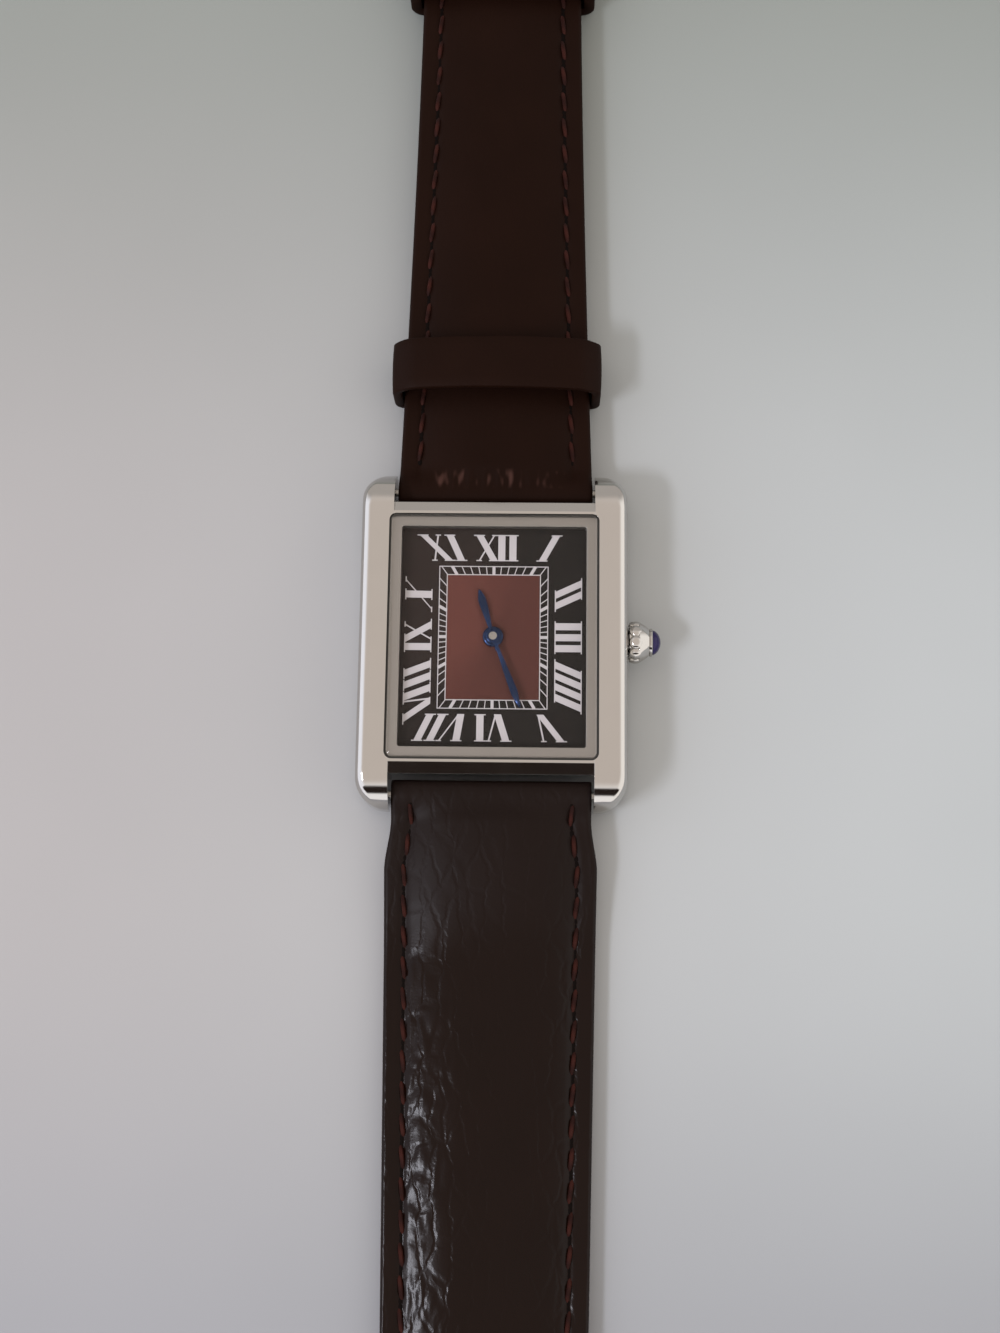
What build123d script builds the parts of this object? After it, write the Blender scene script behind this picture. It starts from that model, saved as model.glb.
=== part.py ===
from build123d import *

import os
from math import asin, cos, degrees, hypot, pi, radians, sin

# A rectangular wristwatch lying open on its back, strap halves spread.
# Millimetres. +Z up through the dial, +Y towards 12 o'clock, +X towards the crown.
# The origin is the centre of the case back's outer face.

# Case
case_width = 27.0
case_length = 34.7
side_bar_width = 3.3
side_bar_height = 5.5
side_bar_fall_length = 4.05
side_bar_corner = 3.0
side_bar_rounding = 1.1
side_bar_tip_height = 2.6
side_bar_foot_height = 0.9
side_bar_foot_setback = 1.3
side_wall = 4.15
end_wall = 2.65
end_slope_length = 1.1
end_slope_fall = 0.7
end_rim_drop = 0.1

# Case back and its fasteners
back_thickness = 0.9
back_side_margin = 1.1
back_end_margin = 0.35
back_corner = 1.6
back_edge_chamfer = 0.25
back_lip_height = 0.25
back_lip_wall = 0.6
screw_side_margin = 1.1
screw_end_margin = 0.65
screw_radius = 0.4
screw_head_radius = 0.6
screw_head_height = 0.4
screw_depth = 1.6
screw_slot_width = 0.16
screw_slot_depth = 0.15
back_gasket_inset = 0.2
back_gasket_wall = 0.42
back_gasket_height = 0.35

# Fits between pieces that do not move against each other, and running fits
seat_clearance = 0.02
running_clearance = 0.04
side_clearance = 0.1
glue_line = 0.05
overrun = 1.0

# Crystal, its gasket and the ring under it
crystal_lap = 1.03
crystal_thickness = 1.0
crystal_corner = 0.5
crystal_bevel = 0.2
crystal_gasket_wall = 0.25
crystal_gasket_height = 0.75
flange_foot_wall = 0.3
flange_top_height = 0.4
flange_corner = 0.5

# Dial and its markings
dial_lap = 0.4
dial_thickness = 0.4
dial_corner = 0.6
dial_hole_radius = 0.85
dial_foot_radius = 0.35
dial_foot_length = 1.1
dial_foot_a = (-6.5, 2.6)
dial_foot_b = (6.4, 3.9)
marking_height = 0.05
numeral_side_margin = 0.42
numeral_end_margin = 0.67
numeral_height = 2.75
numeral_stroke = 0.72
numeral_hairline = 0.16
numeral_serif = 0.11
numeral_serif_overhang = 0.2
numeral_v_width = 1.75
numeral_x_width = 1.55
track_side_gap = 0.65
track_end_gap = 0.53
track_side_band = 0.86
track_end_band = 0.95
track_line = 0.09
track_minute_width = 0.09
track_hour_width = 0.3
least_share = 1e-9

# Hands
hour_hand_length = 5.15
hour_hand_width = 0.8
hour_hand_hub_radius = 1.0
minute_hand_length = 7.9
minute_hand_width = 0.7
minute_hand_hub_radius = 0.8
hand_tail_length = 1.5
hand_neck_width = 0.28
hand_thickness = 0.12
hand_gap = 0.3
hand_spacing = 0.24
crystal_gap = 0.37
hour_hand_widest_share = 0.78
minute_hand_widest_share = 0.8
shown_hour = 11
shown_minute = 26.5

# Movement
movement_width = 14.4
movement_length = 17.0
movement_corner = 2.0
movement_floor_gap = 0.35
holder_clearance = 0.1
bridge_thickness = 0.3
wheel_thickness = 0.2
level_gap = 0.11
plate_gap = 0.27
plate_thickness = 0.8
dial_gap = 0.13
pillar_radius = 0.45
bridge_screw_radius = 0.2
bridge_screw_head_radius = 0.38
bridge_screw_head_height = 0.12
bridge_screw_depth = 0.7
bridge_left = -7.1
bridge_right = 3.2
bridge_bottom = -1.4
bridge_top = 6.5
bridge_corner = 0.8
pillar_top_left = (-6.3, 5.7)
pillar_top_right = (2.6, 3.6)
pillar_bottom_left = (-6.4, -0.7)
pillar_bottom_right = (2.6, -0.9)

# Gear train
module = 0.1
centre_teeth = 40
third_pinion_teeth = 10
third_teeth = 40
intermediate_pinion_teeth = 8
intermediate_teeth = 36
rotor_pinion_teeth = 8
cannon_teeth = 12
minute_wheel_teeth = 36
minute_pinion_teeth = 10
hour_wheel_teeth = 40
tooth_height_share = 0.85
tooth_depth_share = 1.15
tooth_foot_share = 0.29
tooth_crest_share = 0.12
third_angle = 120
intermediate_angle = 150
rotor_angle = 90
minute_wheel_angle = 45
centre_arbor_radius = 0.2
train_arbor_radius = 0.13
pivot_radius = 0.08
pivot_length = 0.22
cannon_pipe_radius = 0.42
hour_pipe_wall = 0.26
minute_post_radius = 0.25
rotor_magnet_radius = 0.45
rotor_magnet_height = 0.3
rotor_gap = 0.2

# Stator, coil, battery and electronics
stator_left = -5.4
stator_right = 4.4
stator_bottom = 4.75
stator_top = 6.4
stator_arm_width = 1.0
stator_thickness = 0.4
coil_core_width = 0.6
coil_core_thickness = 0.3
coil_core_reach = 7.4
coil_radius = 0.85
coil_end_gap = 0.2
coil_window_margin = 0.2
stator_post_radius = 0.4
battery_radius = 3.4
battery_height = 1.65
battery_rim_inset = 0.45
battery_rim_height = 0.25
battery_x = -3.3
battery_y = -4.8
battery_roof = 0.3
battery_clearance = 0.12
clip_width = 1.9
clip_thickness = 0.2
clip_reach = 3.6
board_left = 0.7
board_right = 6.9
board_bottom = -8.0
board_top = -2.3
board_corner = 0.6
board_thickness = 0.25
board_post_a = (1.5, -7.4)
board_post_b = (6.2, -7.3)
chip_side = 2.2
chip_height = 0.7
chip_place = (3.2, -4.4)
can_radius = 0.55
can_length = 4.2
can_x = 5.9
can_y = -4.6

# Winding stem, crown and setting parts
crown_gap = 0.15
crown_length = 2.6
crown_radius = 2.1
crown_band_length = 0.95
crown_neck_radius = 1.85
crown_nose_radius = 1.42
crown_step = 0.12
crown_flutes = 24
crown_flute_radius = 0.17
crown_recess_radius = 1.3
crown_recess_depth = 1.3
cabochon_radius = 1.28
cabochon_seat_depth = 0.35
cabochon_height = 0.76
tube_radius = 0.9
tube_projection = 1.2
stem_radius = 0.45
stem_grip = 0.35
stem_start = 3.2
stem_square = 0.5
stem_square_end = 5.5
stem_groove_x = 6.0
stem_groove_width = 0.4
stem_groove_radius = 0.28
stem_window_half = 0.6
pinion_start = 3.7
pinion_length = 1.2
pinion_teeth = 14
pinion_module = 0.09
pinion_window_margin = 0.2
crown_gasket_length = 0.3
crown_gasket_inset = 0.1
pull_travel = 0.8
lever_arm = 1.6
lever_thickness = 0.2
lever_drop = 0.25
lever_width = 0.7
lever_boss_radius = 0.55
lever_pin_radius = 0.13
lever_stud_radius = 0.3
lever_stud_head_radius = 0.48
lever_stud_head_height = 0.12

# Spring bars at the case
bar_end_margin = 1.65
bar_face_gap = 1.75
bar_height = 3.0
barrel_radius = 0.65
barrel_bore_radius = 0.45
barrel_end_gap = 0.65
tip_radius = 0.4
tip_projection = 0.9
tip_length = 3.7
tip_hole_radius = 0.46
tip_hole_depth = 1.1
bar_spring_wall = 0.1
bar_spring_gap = 0.05

# Strap
strap_play = 0.2
strap_rise = 1.2
strap_start_gap = 0.2
loop_wall = 0.7
lining_thickness = 0.95
upper_thickness = 1.0
filler_height = 1.4
least_crown = 0.12
seam_inset = 2.2
short_strap_length = 70.0
short_strap_taper = 3.0
long_strap_length = 115.0
long_strap_neck = 3.2
long_strap_shoulder = 6.8
long_strap_flare = 1.2
long_strap_taper = 2.0
long_strap_point = 9.0
long_strap_settle_start = 2.3
long_strap_settle_end = 16.3
hole_radius = 1.0
hole_count = 6
hole_pitch = 6.2
last_hole_from_tip = 24.0
taper_power = 1.6

# Thread
stitch_pitch = 3.0
stitch_length = 2.1
stitch_width = 0.34
stitch_height = 0.2
stitch_margin = 2.0
stitch_start = 3.0

# Keepers and buckle
keeper_wall = 0.9
keeper_extra_width = 1.6
keeper_height = 7.2
keeper_length = 5.5
keeper_corner = 1.5
keeper_inner_corner = 0.3
sliding_keeper_distance = 10.2
fixed_keeper_extra_width = 3.2
fixed_keeper_height = 6.15
fixed_keeper_distance = 13.8
buckle_barrel_radius = 0.6
buckle_barrel_bore_radius = 0.4
buckle_tip_radius = 0.36
buckle_bore_radius = 0.4
buckle_loop_wall = 0.5
buckle_play = 0.3
buckle_arm_width = 1.6
buckle_back = 1.3
buckle_front = 10.5
buckle_bar_depth = 2.6
buckle_thickness = 2.2
buckle_corner = 2.0
tongue_width = 1.9
tongue_ring_wall = 0.5
tongue_thickness = 0.87
tongue_lift = 0.28
tongue_reach = 9.8
tongue_nose = 1.0
tongue_slot_clearance = 0.35
tongue_slot_depth = 4.2

# Shares of a strap half's length, with the padding's share of its full height there
short_pad_shares = (
    (0.0, 0.3), (0.012, 0.75), (0.03, 1.0), (0.12, 0.88), (0.22, 0.78),
    (0.5, 0.6), (0.8, 0.4), (0.93, 0.2), (0.97, 0.1), (1.0, 0.1),
)
long_pad_shares = (
    (0.0, 0.3), (0.007, 0.75), (0.02, 1.0), (0.028, 1.0), (0.043, 1.0), (0.06, 1.0), (0.1, 0.98),
    (0.142, 0.97), (0.3, 0.92), (0.4, 0.85), (0.46, 0.6), (0.5, 0.1), (0.75, 0.1), (1.0, 0.1),
)

# Numerals: the side they stand on, their lean, then each letter and its place along that side.
# Leans are shares of the numeral height and places are shares of half the side's length,
# both counted clockwise from the middle of the side.
numeral_shares = (
    ("top", 0.0, (("X", -0.083), ("I", 0.086), ("I", 0.2125))),
    ("top", 0.55, (("I", 0.628),)),
    ("right", -0.47, (("I", -0.468), ("I", -0.362))),
    ("right", 0.0, (("I", -0.106), ("I", 0.0), ("I", 0.106))),
    ("right", 0.43, (("I", 0.316), ("I", 0.419), ("I", 0.5226), ("I", 0.626))),
    ("bottom", -0.47, (("V", -0.607),)),
    ("bottom", 0.0, (("V", -0.0616), ("I", 0.1324))),
    ("bottom", 0.48, (("V", 0.422), ("I", 0.622), ("I", 0.7606))),
    ("left", -0.39, (("V", -0.6623), ("I", -0.538), ("I", -0.4243), ("I", -0.3104))),
    ("left", 0.0, (("I", -0.0983), ("X", 0.0466))),
    ("left", 0.58, (("X", 0.4113),)),
    ("top", -0.46, (("X", -0.656), ("I", -0.4373))),
)

# Heights that follow from the stack of pieces
bar_top_z = back_thickness + side_bar_height
bridge_z = back_thickness + movement_floor_gap
bridge_top_z = bridge_z + bridge_thickness
level_c_z = bridge_top_z + level_gap
level_b_z = level_c_z + wheel_thickness + level_gap
level_a_z = level_b_z + wheel_thickness + level_gap
plate_z = level_a_z + wheel_thickness + plate_gap
plate_top_z = plate_z + plate_thickness
motion_low_z = plate_top_z + level_gap
motion_high_z = motion_low_z + wheel_thickness + level_gap
dial_z = motion_high_z + wheel_thickness + dial_gap
dial_top_z = dial_z + dial_thickness
hour_hand_z = dial_top_z + hand_gap
minute_hand_z = hour_hand_z + hand_thickness + hand_spacing
crystal_z = minute_hand_z + hand_thickness + crystal_gap
stem_z = plate_z + plate_thickness / 2
stator_z = level_b_z + level_gap / 2
coil_core_z = stator_z + stator_thickness
coil_axis_z = coil_core_z + coil_core_thickness / 2
lever_z = plate_z - lever_drop - lever_thickness
battery_top_z = plate_top_z - battery_roof - battery_clearance
battery_z = battery_top_z - battery_height
rotor_magnet_z = stator_z + (stator_thickness - rotor_magnet_height) / 2

# Plan sizes that follow from others
case_side = case_width / 2
strap_gap = case_width - 2 * side_bar_width
bar_reach = case_length / 2 - bar_end_margin
end_face_reach = bar_reach - bar_face_gap
end_slope_start = end_face_reach - end_slope_length
opening_width = case_width - 2 * side_wall
opening_length = 2 * (end_face_reach - end_wall)
back_width = case_width - 2 * back_side_margin
back_length = 2 * (end_face_reach - back_end_margin)
screw_reach_x = back_width / 2 - screw_side_margin
screw_reach_y = back_length / 2 - screw_end_margin
crystal_width = opening_width + 2 * crystal_lap
crystal_length = opening_length + 2 * crystal_lap
pocket_width = crystal_width + 2 * crystal_gasket_wall
pocket_length = crystal_length + 2 * crystal_gasket_wall
pocket_z = crystal_z - flange_top_height
dial_width = opening_width + 2 * dial_lap
dial_length = opening_length + 2 * dial_lap
cavity_width = dial_width + 2 * side_clearance
cavity_length = dial_length + 2 * side_clearance
numeral_outer_x = opening_width / 2 - numeral_side_margin
numeral_outer_y = opening_length / 2 - numeral_end_margin
track_outer_x = numeral_outer_x - numeral_height - track_side_gap
track_outer_y = numeral_outer_y - numeral_height - track_end_gap
track_inner_x = track_outer_x - track_side_band
track_inner_y = track_outer_y - track_end_band
third_place_reach = module * (centre_teeth + third_pinion_teeth) / 2
intermediate_place_reach = module * (third_teeth + intermediate_pinion_teeth) / 2
rotor_place_reach = module * (intermediate_teeth + rotor_pinion_teeth) / 2
minute_wheel_reach = module * (cannon_teeth + minute_wheel_teeth) / 2
hour_module = module * (cannon_teeth + minute_wheel_teeth) / (minute_pinion_teeth + hour_wheel_teeth)
lever_swing = pull_travel / lever_arm
lever_pivot_x = stem_groove_x + lever_arm * sin(lever_swing / 2)
lever_pivot_y = -lever_arm * cos(lever_swing / 2)
crown_start = case_side + crown_gap
crown_end = crown_start + crown_length
strap_width = strap_gap - 2 * strap_play
strap_start = bar_reach + strap_start_gap
short_strap_end_width = strap_width - short_strap_taper
long_strap_shoulder_width = strap_width + long_strap_flare
long_strap_tip_width = strap_width - long_strap_taper
buckle_reach = bar_reach + short_strap_length
buckle_gap_width = short_strap_end_width + 2 * buckle_play
buckle_width = buckle_gap_width + 2 * buckle_arm_width
keeper_width = strap_width + keeper_extra_width
sliding_keeper_reach = bar_reach + sliding_keeper_distance
fixed_keeper_width = short_strap_end_width + fixed_keeper_extra_width
fixed_keeper_reach = buckle_reach - fixed_keeper_distance
strap_end_thickness = lining_thickness + glue_line + upper_thickness + least_crown
buckle_height = strap_rise + strap_end_thickness / 2
buckle_loop_radius = buckle_barrel_radius + running_clearance + buckle_loop_wall
loop_radius = barrel_radius + running_clearance + loop_wall


# Basic shapes
def block(x0, x1, y0, y1, z0, z1):
    return Pos((x0 + x1) / 2, (y0 + y1) / 2, (z0 + z1) / 2) * Box(x1 - x0, y1 - y0, z1 - z0)


def disc(radius, z0, z1, at=(0, 0)):
    return Pos(at[0], at[1], (z0 + z1) / 2) * Cylinder(radius, z1 - z0)


def rod(radius, x0, x1, at=(0, 0)):
    return Pos((x0 + x1) / 2, at[0], at[1]) * Rot(0, 90, 0) * Cylinder(radius, x1 - x0)


def slab(width, length, corner, z0, z1):
    return extrude(Pos(0, 0, z0) * RectangleRounded(width, length, corner), z1 - z0)


def frame_ring(width, length, corner, wall, z0, z1):
    inner = slab(width - 2 * wall, length - 2 * wall, corner / 2, z0, z1)
    return slab(width, length, corner, z0, z1) - inner


def plate_of(points, z0, z1):
    return extrude(Pos(0, 0, z0) * make_face(Polyline(*points, close=True)), z1 - z0)


def side_prism(points, x0, x1):
    face = make_face(Polyline(*points, close=True))
    return extrude(Plane(origin=(x0, 0, 0), x_dir=(0, 1, 0), z_dir=(1, 0, 0)) * face, x1 - x0)


def polar(origin, reach, angle):
    return origin[0] + reach * cos(radians(angle)), origin[1] + reach * sin(radians(angle))


def smooth(share):
    inside = min(max(share, 0), 1)
    return inside * inside * (3 - 2 * inside)


# Case middle: side bars and mid-section from one piece of steel
def case_outline():
    half = case_length / 2
    flat = half - side_bar_fall_length
    tip = back_thickness + side_bar_tip_height
    foot = back_thickness + side_bar_foot_height
    sole = half - side_bar_foot_setback
    return make_face([
        Line((-flat, bar_top_z), (flat, bar_top_z)),
        TangentArc((flat, bar_top_z), (half, tip), tangent=(1, 0)),
        Line((half, tip), (half, foot)),
        Line((half, foot), (sole, back_thickness)),
        Line((sole, back_thickness), (-sole, back_thickness)),
        Line((-sole, back_thickness), (-half, foot)),
        Line((-half, foot), (-half, tip)),
        TangentArc((-flat, bar_top_z), (-half, tip), tangent=(-1, 0)),
    ])


def top_outer_edges(body):
    tip = back_thickness + side_bar_tip_height
    flat = case_length / 2 - side_bar_fall_length
    found = []
    for edge in body.edges():
        box = edge.bounding_box()
        upright = box.size.Z > box.size.X + box.size.Y and edge.geom_type == GeomType.LINE
        across = box.size.X > case_width / 2 and abs(abs(edge.center().Y) - flat) < overrun / 2
        if box.min.Z > tip - overrun / 4 and not upright and not across:
            found.append(edge)
    return found


def case_middle():
    whole = extrude(Plane.YZ * case_outline(), case_side, both=True)
    whole &= slab(case_width, case_length, side_bar_corner, back_thickness, bar_top_z)
    whole = fillet(top_outer_edges(whole), side_bar_rounding)
    half_gap = strap_gap / 2
    over_z = bar_top_z + overrun
    for side in (-1, 1):
        near, far = sorted((side * end_face_reach, side * (case_length / 2 + overrun)))
        whole -= block(-half_gap, half_gap, near, far, back_thickness - overrun, over_z)
        rim = bar_top_z - end_rim_drop
        slope = [
            (side * (pocket_length / 2 - crystal_gasket_wall), rim),
            (side * end_slope_start, rim),
            (side * end_face_reach, rim - end_slope_fall),
            (side * (end_face_reach + overrun), rim - end_slope_fall),
            (side * (end_face_reach + overrun), over_z),
            (side * (pocket_length / 2 - crystal_gasket_wall), over_z),
        ]
        whole -= side_prism(slope, -half_gap, half_gap)
    whole -= slab(pocket_width, pocket_length, crystal_corner + crystal_gasket_wall, pocket_z, over_z)
    whole -= slab(cavity_width, cavity_length, dial_corner, back_thickness - overrun, over_z)
    whole -= gasket_rebate()
    for x, y in screw_places():
        whole -= disc(screw_radius + seat_clearance, 0, screw_top_z(), (x, y))
    whole -= rod(tube_radius + seat_clearance, 0, case_side + overrun, (0, stem_z))
    for side in (-1, 1):
        whole -= rod(tip_hole_radius, -half_gap - tip_hole_depth, half_gap + tip_hole_depth,
                     (side * bar_reach, bar_height))
    return whole


def gasket_rebate():
    inset = 2 * back_gasket_inset
    wall = back_gasket_wall + 2 * seat_clearance
    return frame_ring(cavity_width + inset + 2 * wall, cavity_length + inset + 2 * wall,
                      dial_corner + wall, wall, back_thickness, back_thickness + back_gasket_height)


def case_back_gasket():
    inset = 2 * (back_gasket_inset + seat_clearance)
    wall = back_gasket_wall
    return frame_ring(cavity_width + inset + 2 * wall, cavity_length + inset + 2 * wall,
                      dial_corner + wall, wall, back_thickness, back_thickness + back_gasket_height - seat_clearance)


def screw_places():
    return [(x * screw_reach_x, y * screw_reach_y) for x in (-1, 1) for y in (-1, 1)]


def screw_top_z():
    return back_thickness + screw_depth


def case_back():
    plate = slab(back_width, back_length, back_corner, 0, back_thickness)
    plate = chamfer(plate.faces().sort_by(Axis.Z)[0].edges(), back_edge_chamfer)
    lip_gap = 2 * side_clearance
    plate += frame_ring(cavity_width - lip_gap, cavity_length - lip_gap, dial_corner, back_lip_wall,
                        back_thickness - back_lip_height, back_thickness + back_lip_height)
    for x, y in screw_places():
        plate -= disc(screw_radius + seat_clearance, 0, back_thickness, (x, y))
        plate -= disc(screw_head_radius + seat_clearance, 0, screw_head_height + seat_clearance, (x, y))
    return plate


def case_back_screws():
    screws = []
    for x, y in screw_places():
        screw = disc(screw_head_radius, 2 * seat_clearance, screw_head_height, (x, y))
        screw += disc(screw_radius, screw_head_height, screw_top_z() - seat_clearance, (x, y))
        half = screw_slot_width / 2
        screw -= block(x - screw_head_radius, x + screw_head_radius, y - half, y + half,
                       0, 2 * seat_clearance + screw_slot_depth)
        screws.append(screw)
    return Compound(screws)


# Crystal, gasket and the satin ring that shows through the crystal's edge
def crystal():
    glass = slab(crystal_width, crystal_length, crystal_corner, crystal_z, crystal_z + crystal_thickness)
    return chamfer(glass.faces().sort_by(Axis.Z)[-1].edges(), crystal_bevel)


def crystal_gasket():
    wall = crystal_gasket_wall - seat_clearance
    return frame_ring_between(crystal_width + 2 * seat_clearance, crystal_length + 2 * seat_clearance,
                              crystal_corner, wall - seat_clearance, pocket_z,
                              pocket_z + crystal_gasket_height)


def frame_ring_between(width, length, corner, wall, z0, z1):
    outer = slab(width + 2 * wall, length + 2 * wall, corner + wall, z0, z1)
    return outer - slab(width, length, corner, z0, z1)


def dial_flange():
    foot_width = opening_width + 2 * flange_foot_wall
    foot_length = opening_length + 2 * flange_foot_wall
    ring = slab(foot_width, foot_length, flange_corner, dial_top_z, pocket_z)
    ring += slab(crystal_width, crystal_length, crystal_corner, pocket_z, crystal_z)
    ring -= slab(opening_width, opening_length, flange_corner / 2, dial_top_z, crystal_z)
    return ring


# Dial, numerals and minute track
def dial():
    plate = slab(dial_width, dial_length, dial_corner, dial_z, dial_top_z)
    for place in (dial_foot_a, dial_foot_b):
        plate += disc(dial_foot_radius, dial_z - dial_foot_length, dial_z, place)
    return plate - disc(dial_hole_radius, dial_z, dial_top_z)


def stroke(inner, outer, width, depth):
    half = width / 2
    return make_face(Polyline((inner - half, 0), (inner + half, 0), (outer + half, depth),
                              (outer - half, depth), close=True))


def serif(middle, width, height):
    half = width / 2 + numeral_serif_overhang
    low = height - numeral_serif if height else 0
    return make_face(Polyline((middle - half, low), (middle + half, low), (middle + half, low + numeral_serif),
                              (middle - half, low + numeral_serif), close=True))


def letter(kind, middle, lean):
    foot = middle - lean / 2
    head = middle + lean / 2
    thick = numeral_stroke
    thin = numeral_hairline
    tall = numeral_height
    if kind == "I":
        return [stroke(foot, head, thick, tall), serif(foot, thick, 0), serif(head, thick, tall)]
    if kind == "V":
        left = head - numeral_v_width / 2
        right = head + numeral_v_width / 2
        return [stroke(foot, left, thick, tall), stroke(foot + thick / 4, right, thin, tall),
                serif(left, thick, tall), serif(right, thin, tall)]
    spread = numeral_x_width / 2
    return [stroke(foot + spread, head - spread, thick, tall), stroke(foot - spread, head + spread, thin, tall),
            serif(foot + spread, thick, 0), serif(foot - spread, thin, 0),
            serif(head - spread, thick, tall), serif(head + spread, thin, tall)]


def hour_numerals():
    inner_x = numeral_outer_x - numeral_height
    inner_y = numeral_outer_y - numeral_height
    places = {
        "top": Pos(0, inner_y, 0),
        "right": Pos(inner_x, 0, 0) * Rot(0, 0, -90),
        "bottom": Pos(0, -inner_y, 0) * Rot(0, 0, 180),
        "left": Pos(-inner_x, 0, 0) * Rot(0, 0, 90),
    }
    side_half = {"top": numeral_outer_x, "right": numeral_outer_y, "bottom": numeral_outer_x, "left": numeral_outer_y}
    solids = []
    for side, lean_share, letters in numeral_shares:
        faces = []
        for kind, place_share in letters:
            faces += letter(kind, place_share * side_half[side], lean_share * numeral_height)
        outline = faces[0].fuse(*faces[1:]).clean()
        printed = extrude(Pos(0, 0, dial_top_z) * places[side] * outline, marking_height)
        solids += printed.solids()
    return Compound(solids)


def track_point(angle, half_x, half_y):
    across = max(abs(sin(angle)), least_share)
    along = max(abs(cos(angle)), least_share)
    reach = min(half_x / across, half_y / along)
    return reach * sin(angle), reach * cos(angle)


def minute_track():
    outer = Rectangle(2 * track_outer_x, 2 * track_outer_y)
    inner = Rectangle(2 * track_inner_x, 2 * track_inner_y)
    bands = [
        outer - Rectangle(2 * (track_outer_x - track_line), 2 * (track_outer_y - track_line)),
        Rectangle(2 * (track_inner_x + track_line), 2 * (track_inner_y + track_line)) - inner,
    ]
    ticks = []
    for minute in range(60):
        angle = 2 * pi * minute / 60
        near = track_point(angle, track_inner_x + track_line / 2, track_inner_y + track_line / 2)
        far = track_point(angle, track_outer_x - track_line / 2, track_outer_y - track_line / 2)
        width = track_hour_width if minute % 5 == 0 else track_minute_width
        reach = hypot(far[0] - near[0], far[1] - near[1])
        side = ((far[1] - near[1]) * width / reach / 2, (near[0] - far[0]) * width / reach / 2)
        corners = ((near[0] - side[0], near[1] - side[1]), (near[0] + side[0], near[1] + side[1]),
                   (far[0] + side[0], far[1] + side[1]), (far[0] - side[0], far[1] - side[1]))
        ticks.append(make_face(Polyline(*corners, close=True)))
    outline = bands[0].fuse(bands[1], *ticks).clean()
    printed = extrude(Pos(0, 0, dial_top_z) * outline, marking_height)
    return Compound(printed.solids())


# Hands, set at the time the watch shows
def hand(length, width, hub_radius, bore, z, angle, widest_share):
    neck = hand_neck_width / 2
    half = width / 2
    outline = make_face(Polyline((-neck, 0), (-half, length * widest_share), (0, length),
                                 (half, length * widest_share), (neck, 0),
                                 (neck, -hand_tail_length), (-neck, -hand_tail_length), close=True))
    blade = extrude(Pos(0, 0, z) * outline, hand_thickness)
    blade += disc(hub_radius, z, z + hand_thickness)
    blade -= disc(bore, z, z + hand_thickness)
    return Rot(0, 0, -angle) * blade


def hour_angle():
    return (shown_hour + shown_minute / 60) * 30


def minute_angle():
    return shown_minute * 6


def hour_pipe_bore():
    return cannon_pipe_radius + running_clearance


def hour_pipe_radius():
    return hour_pipe_bore() + hour_pipe_wall


def hour_hand():
    return hand(hour_hand_length, hour_hand_width, hour_hand_hub_radius,
                hour_pipe_radius() - seat_clearance, hour_hand_z, hour_angle(), hour_hand_widest_share)


def minute_hand():
    return hand(minute_hand_length, minute_hand_width, minute_hand_hub_radius,
                cannon_pipe_radius - seat_clearance, minute_hand_z, minute_angle(), minute_hand_widest_share)


# Gears
def gear(teeth, tooth_module, z0, z1, at, phase):
    pitch = 2 * pi / teeth
    root = tooth_module * (teeth / 2 - tooth_depth_share)
    tip = tooth_module * (teeth / 2 + tooth_height_share)
    corners = ((root, -tooth_foot_share), (tip, -tooth_crest_share),
               (tip, tooth_crest_share), (root, tooth_foot_share))
    points = []
    for tooth in range(teeth):
        for radius, offset in corners:
            angle = phase + (tooth + offset) * pitch
            points.append((at[0] + radius * cos(angle), at[1] + radius * sin(angle)))
    return plate_of(points, z0, z1)


def meshed(phase, teeth, direction, other_teeth):
    # Phase of the gear that stands in this direction from a gear of this phase, a gap facing each tooth
    angle = radians(direction)
    share = ((phase - angle) * teeth / (2 * pi)) % 1
    return angle + pi + (0.5 - share) * 2 * pi / other_teeth


def third_place():
    return polar((0, 0), third_place_reach, third_angle)


def intermediate_place():
    return polar(third_place(), intermediate_place_reach, intermediate_angle)


def rotor_place():
    return polar(intermediate_place(), rotor_place_reach, rotor_angle)


def minute_wheel_place():
    return polar((0, 0), minute_wheel_reach, minute_wheel_angle)


def third_phase():
    return meshed(0, centre_teeth, third_angle, third_pinion_teeth)


def intermediate_phase():
    return meshed(third_phase(), third_teeth, intermediate_angle, intermediate_pinion_teeth)


def arbor(at):
    low = bridge_top_z - pivot_length
    high = plate_z + pivot_length
    shaft = disc(pivot_radius, low, high, at)
    return shaft + disc(train_arbor_radius, bridge_top_z + level_gap / 2, plate_z - level_gap / 2, at)


def centre_wheel():
    wheel = gear(centre_teeth, module, level_a_z, level_a_z + wheel_thickness, (0, 0), 0)
    wheel += disc(centre_arbor_radius, bridge_top_z + level_gap / 2, minute_hand_z - hand_spacing)
    return wheel + disc(pivot_radius, bridge_top_z - pivot_length, bridge_top_z + level_gap)


def cannon_pinion():
    body = gear(cannon_teeth, module, motion_low_z, motion_low_z + wheel_thickness, (0, 0), 0)
    body += disc(cannon_pipe_radius, motion_low_z, minute_hand_z + hand_thickness + hand_spacing / 2)
    return body - disc(centre_arbor_radius + seat_clearance, motion_low_z, minute_hand_z)


def third_wheel():
    at = third_place()
    wheel = gear(third_teeth, module, level_b_z, level_b_z + wheel_thickness, at, third_phase())
    top = level_a_z + wheel_thickness
    return wheel + gear(third_pinion_teeth, module, level_b_z, top, at, third_phase()) + arbor(at)


def intermediate_wheel():
    at = intermediate_place()
    phase = intermediate_phase()
    wheel = gear(intermediate_teeth, module, level_c_z, level_c_z + wheel_thickness, at, phase)
    top = level_b_z + wheel_thickness
    return wheel + gear(intermediate_pinion_teeth, module, level_c_z, top, at, phase) + arbor(at)


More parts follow.
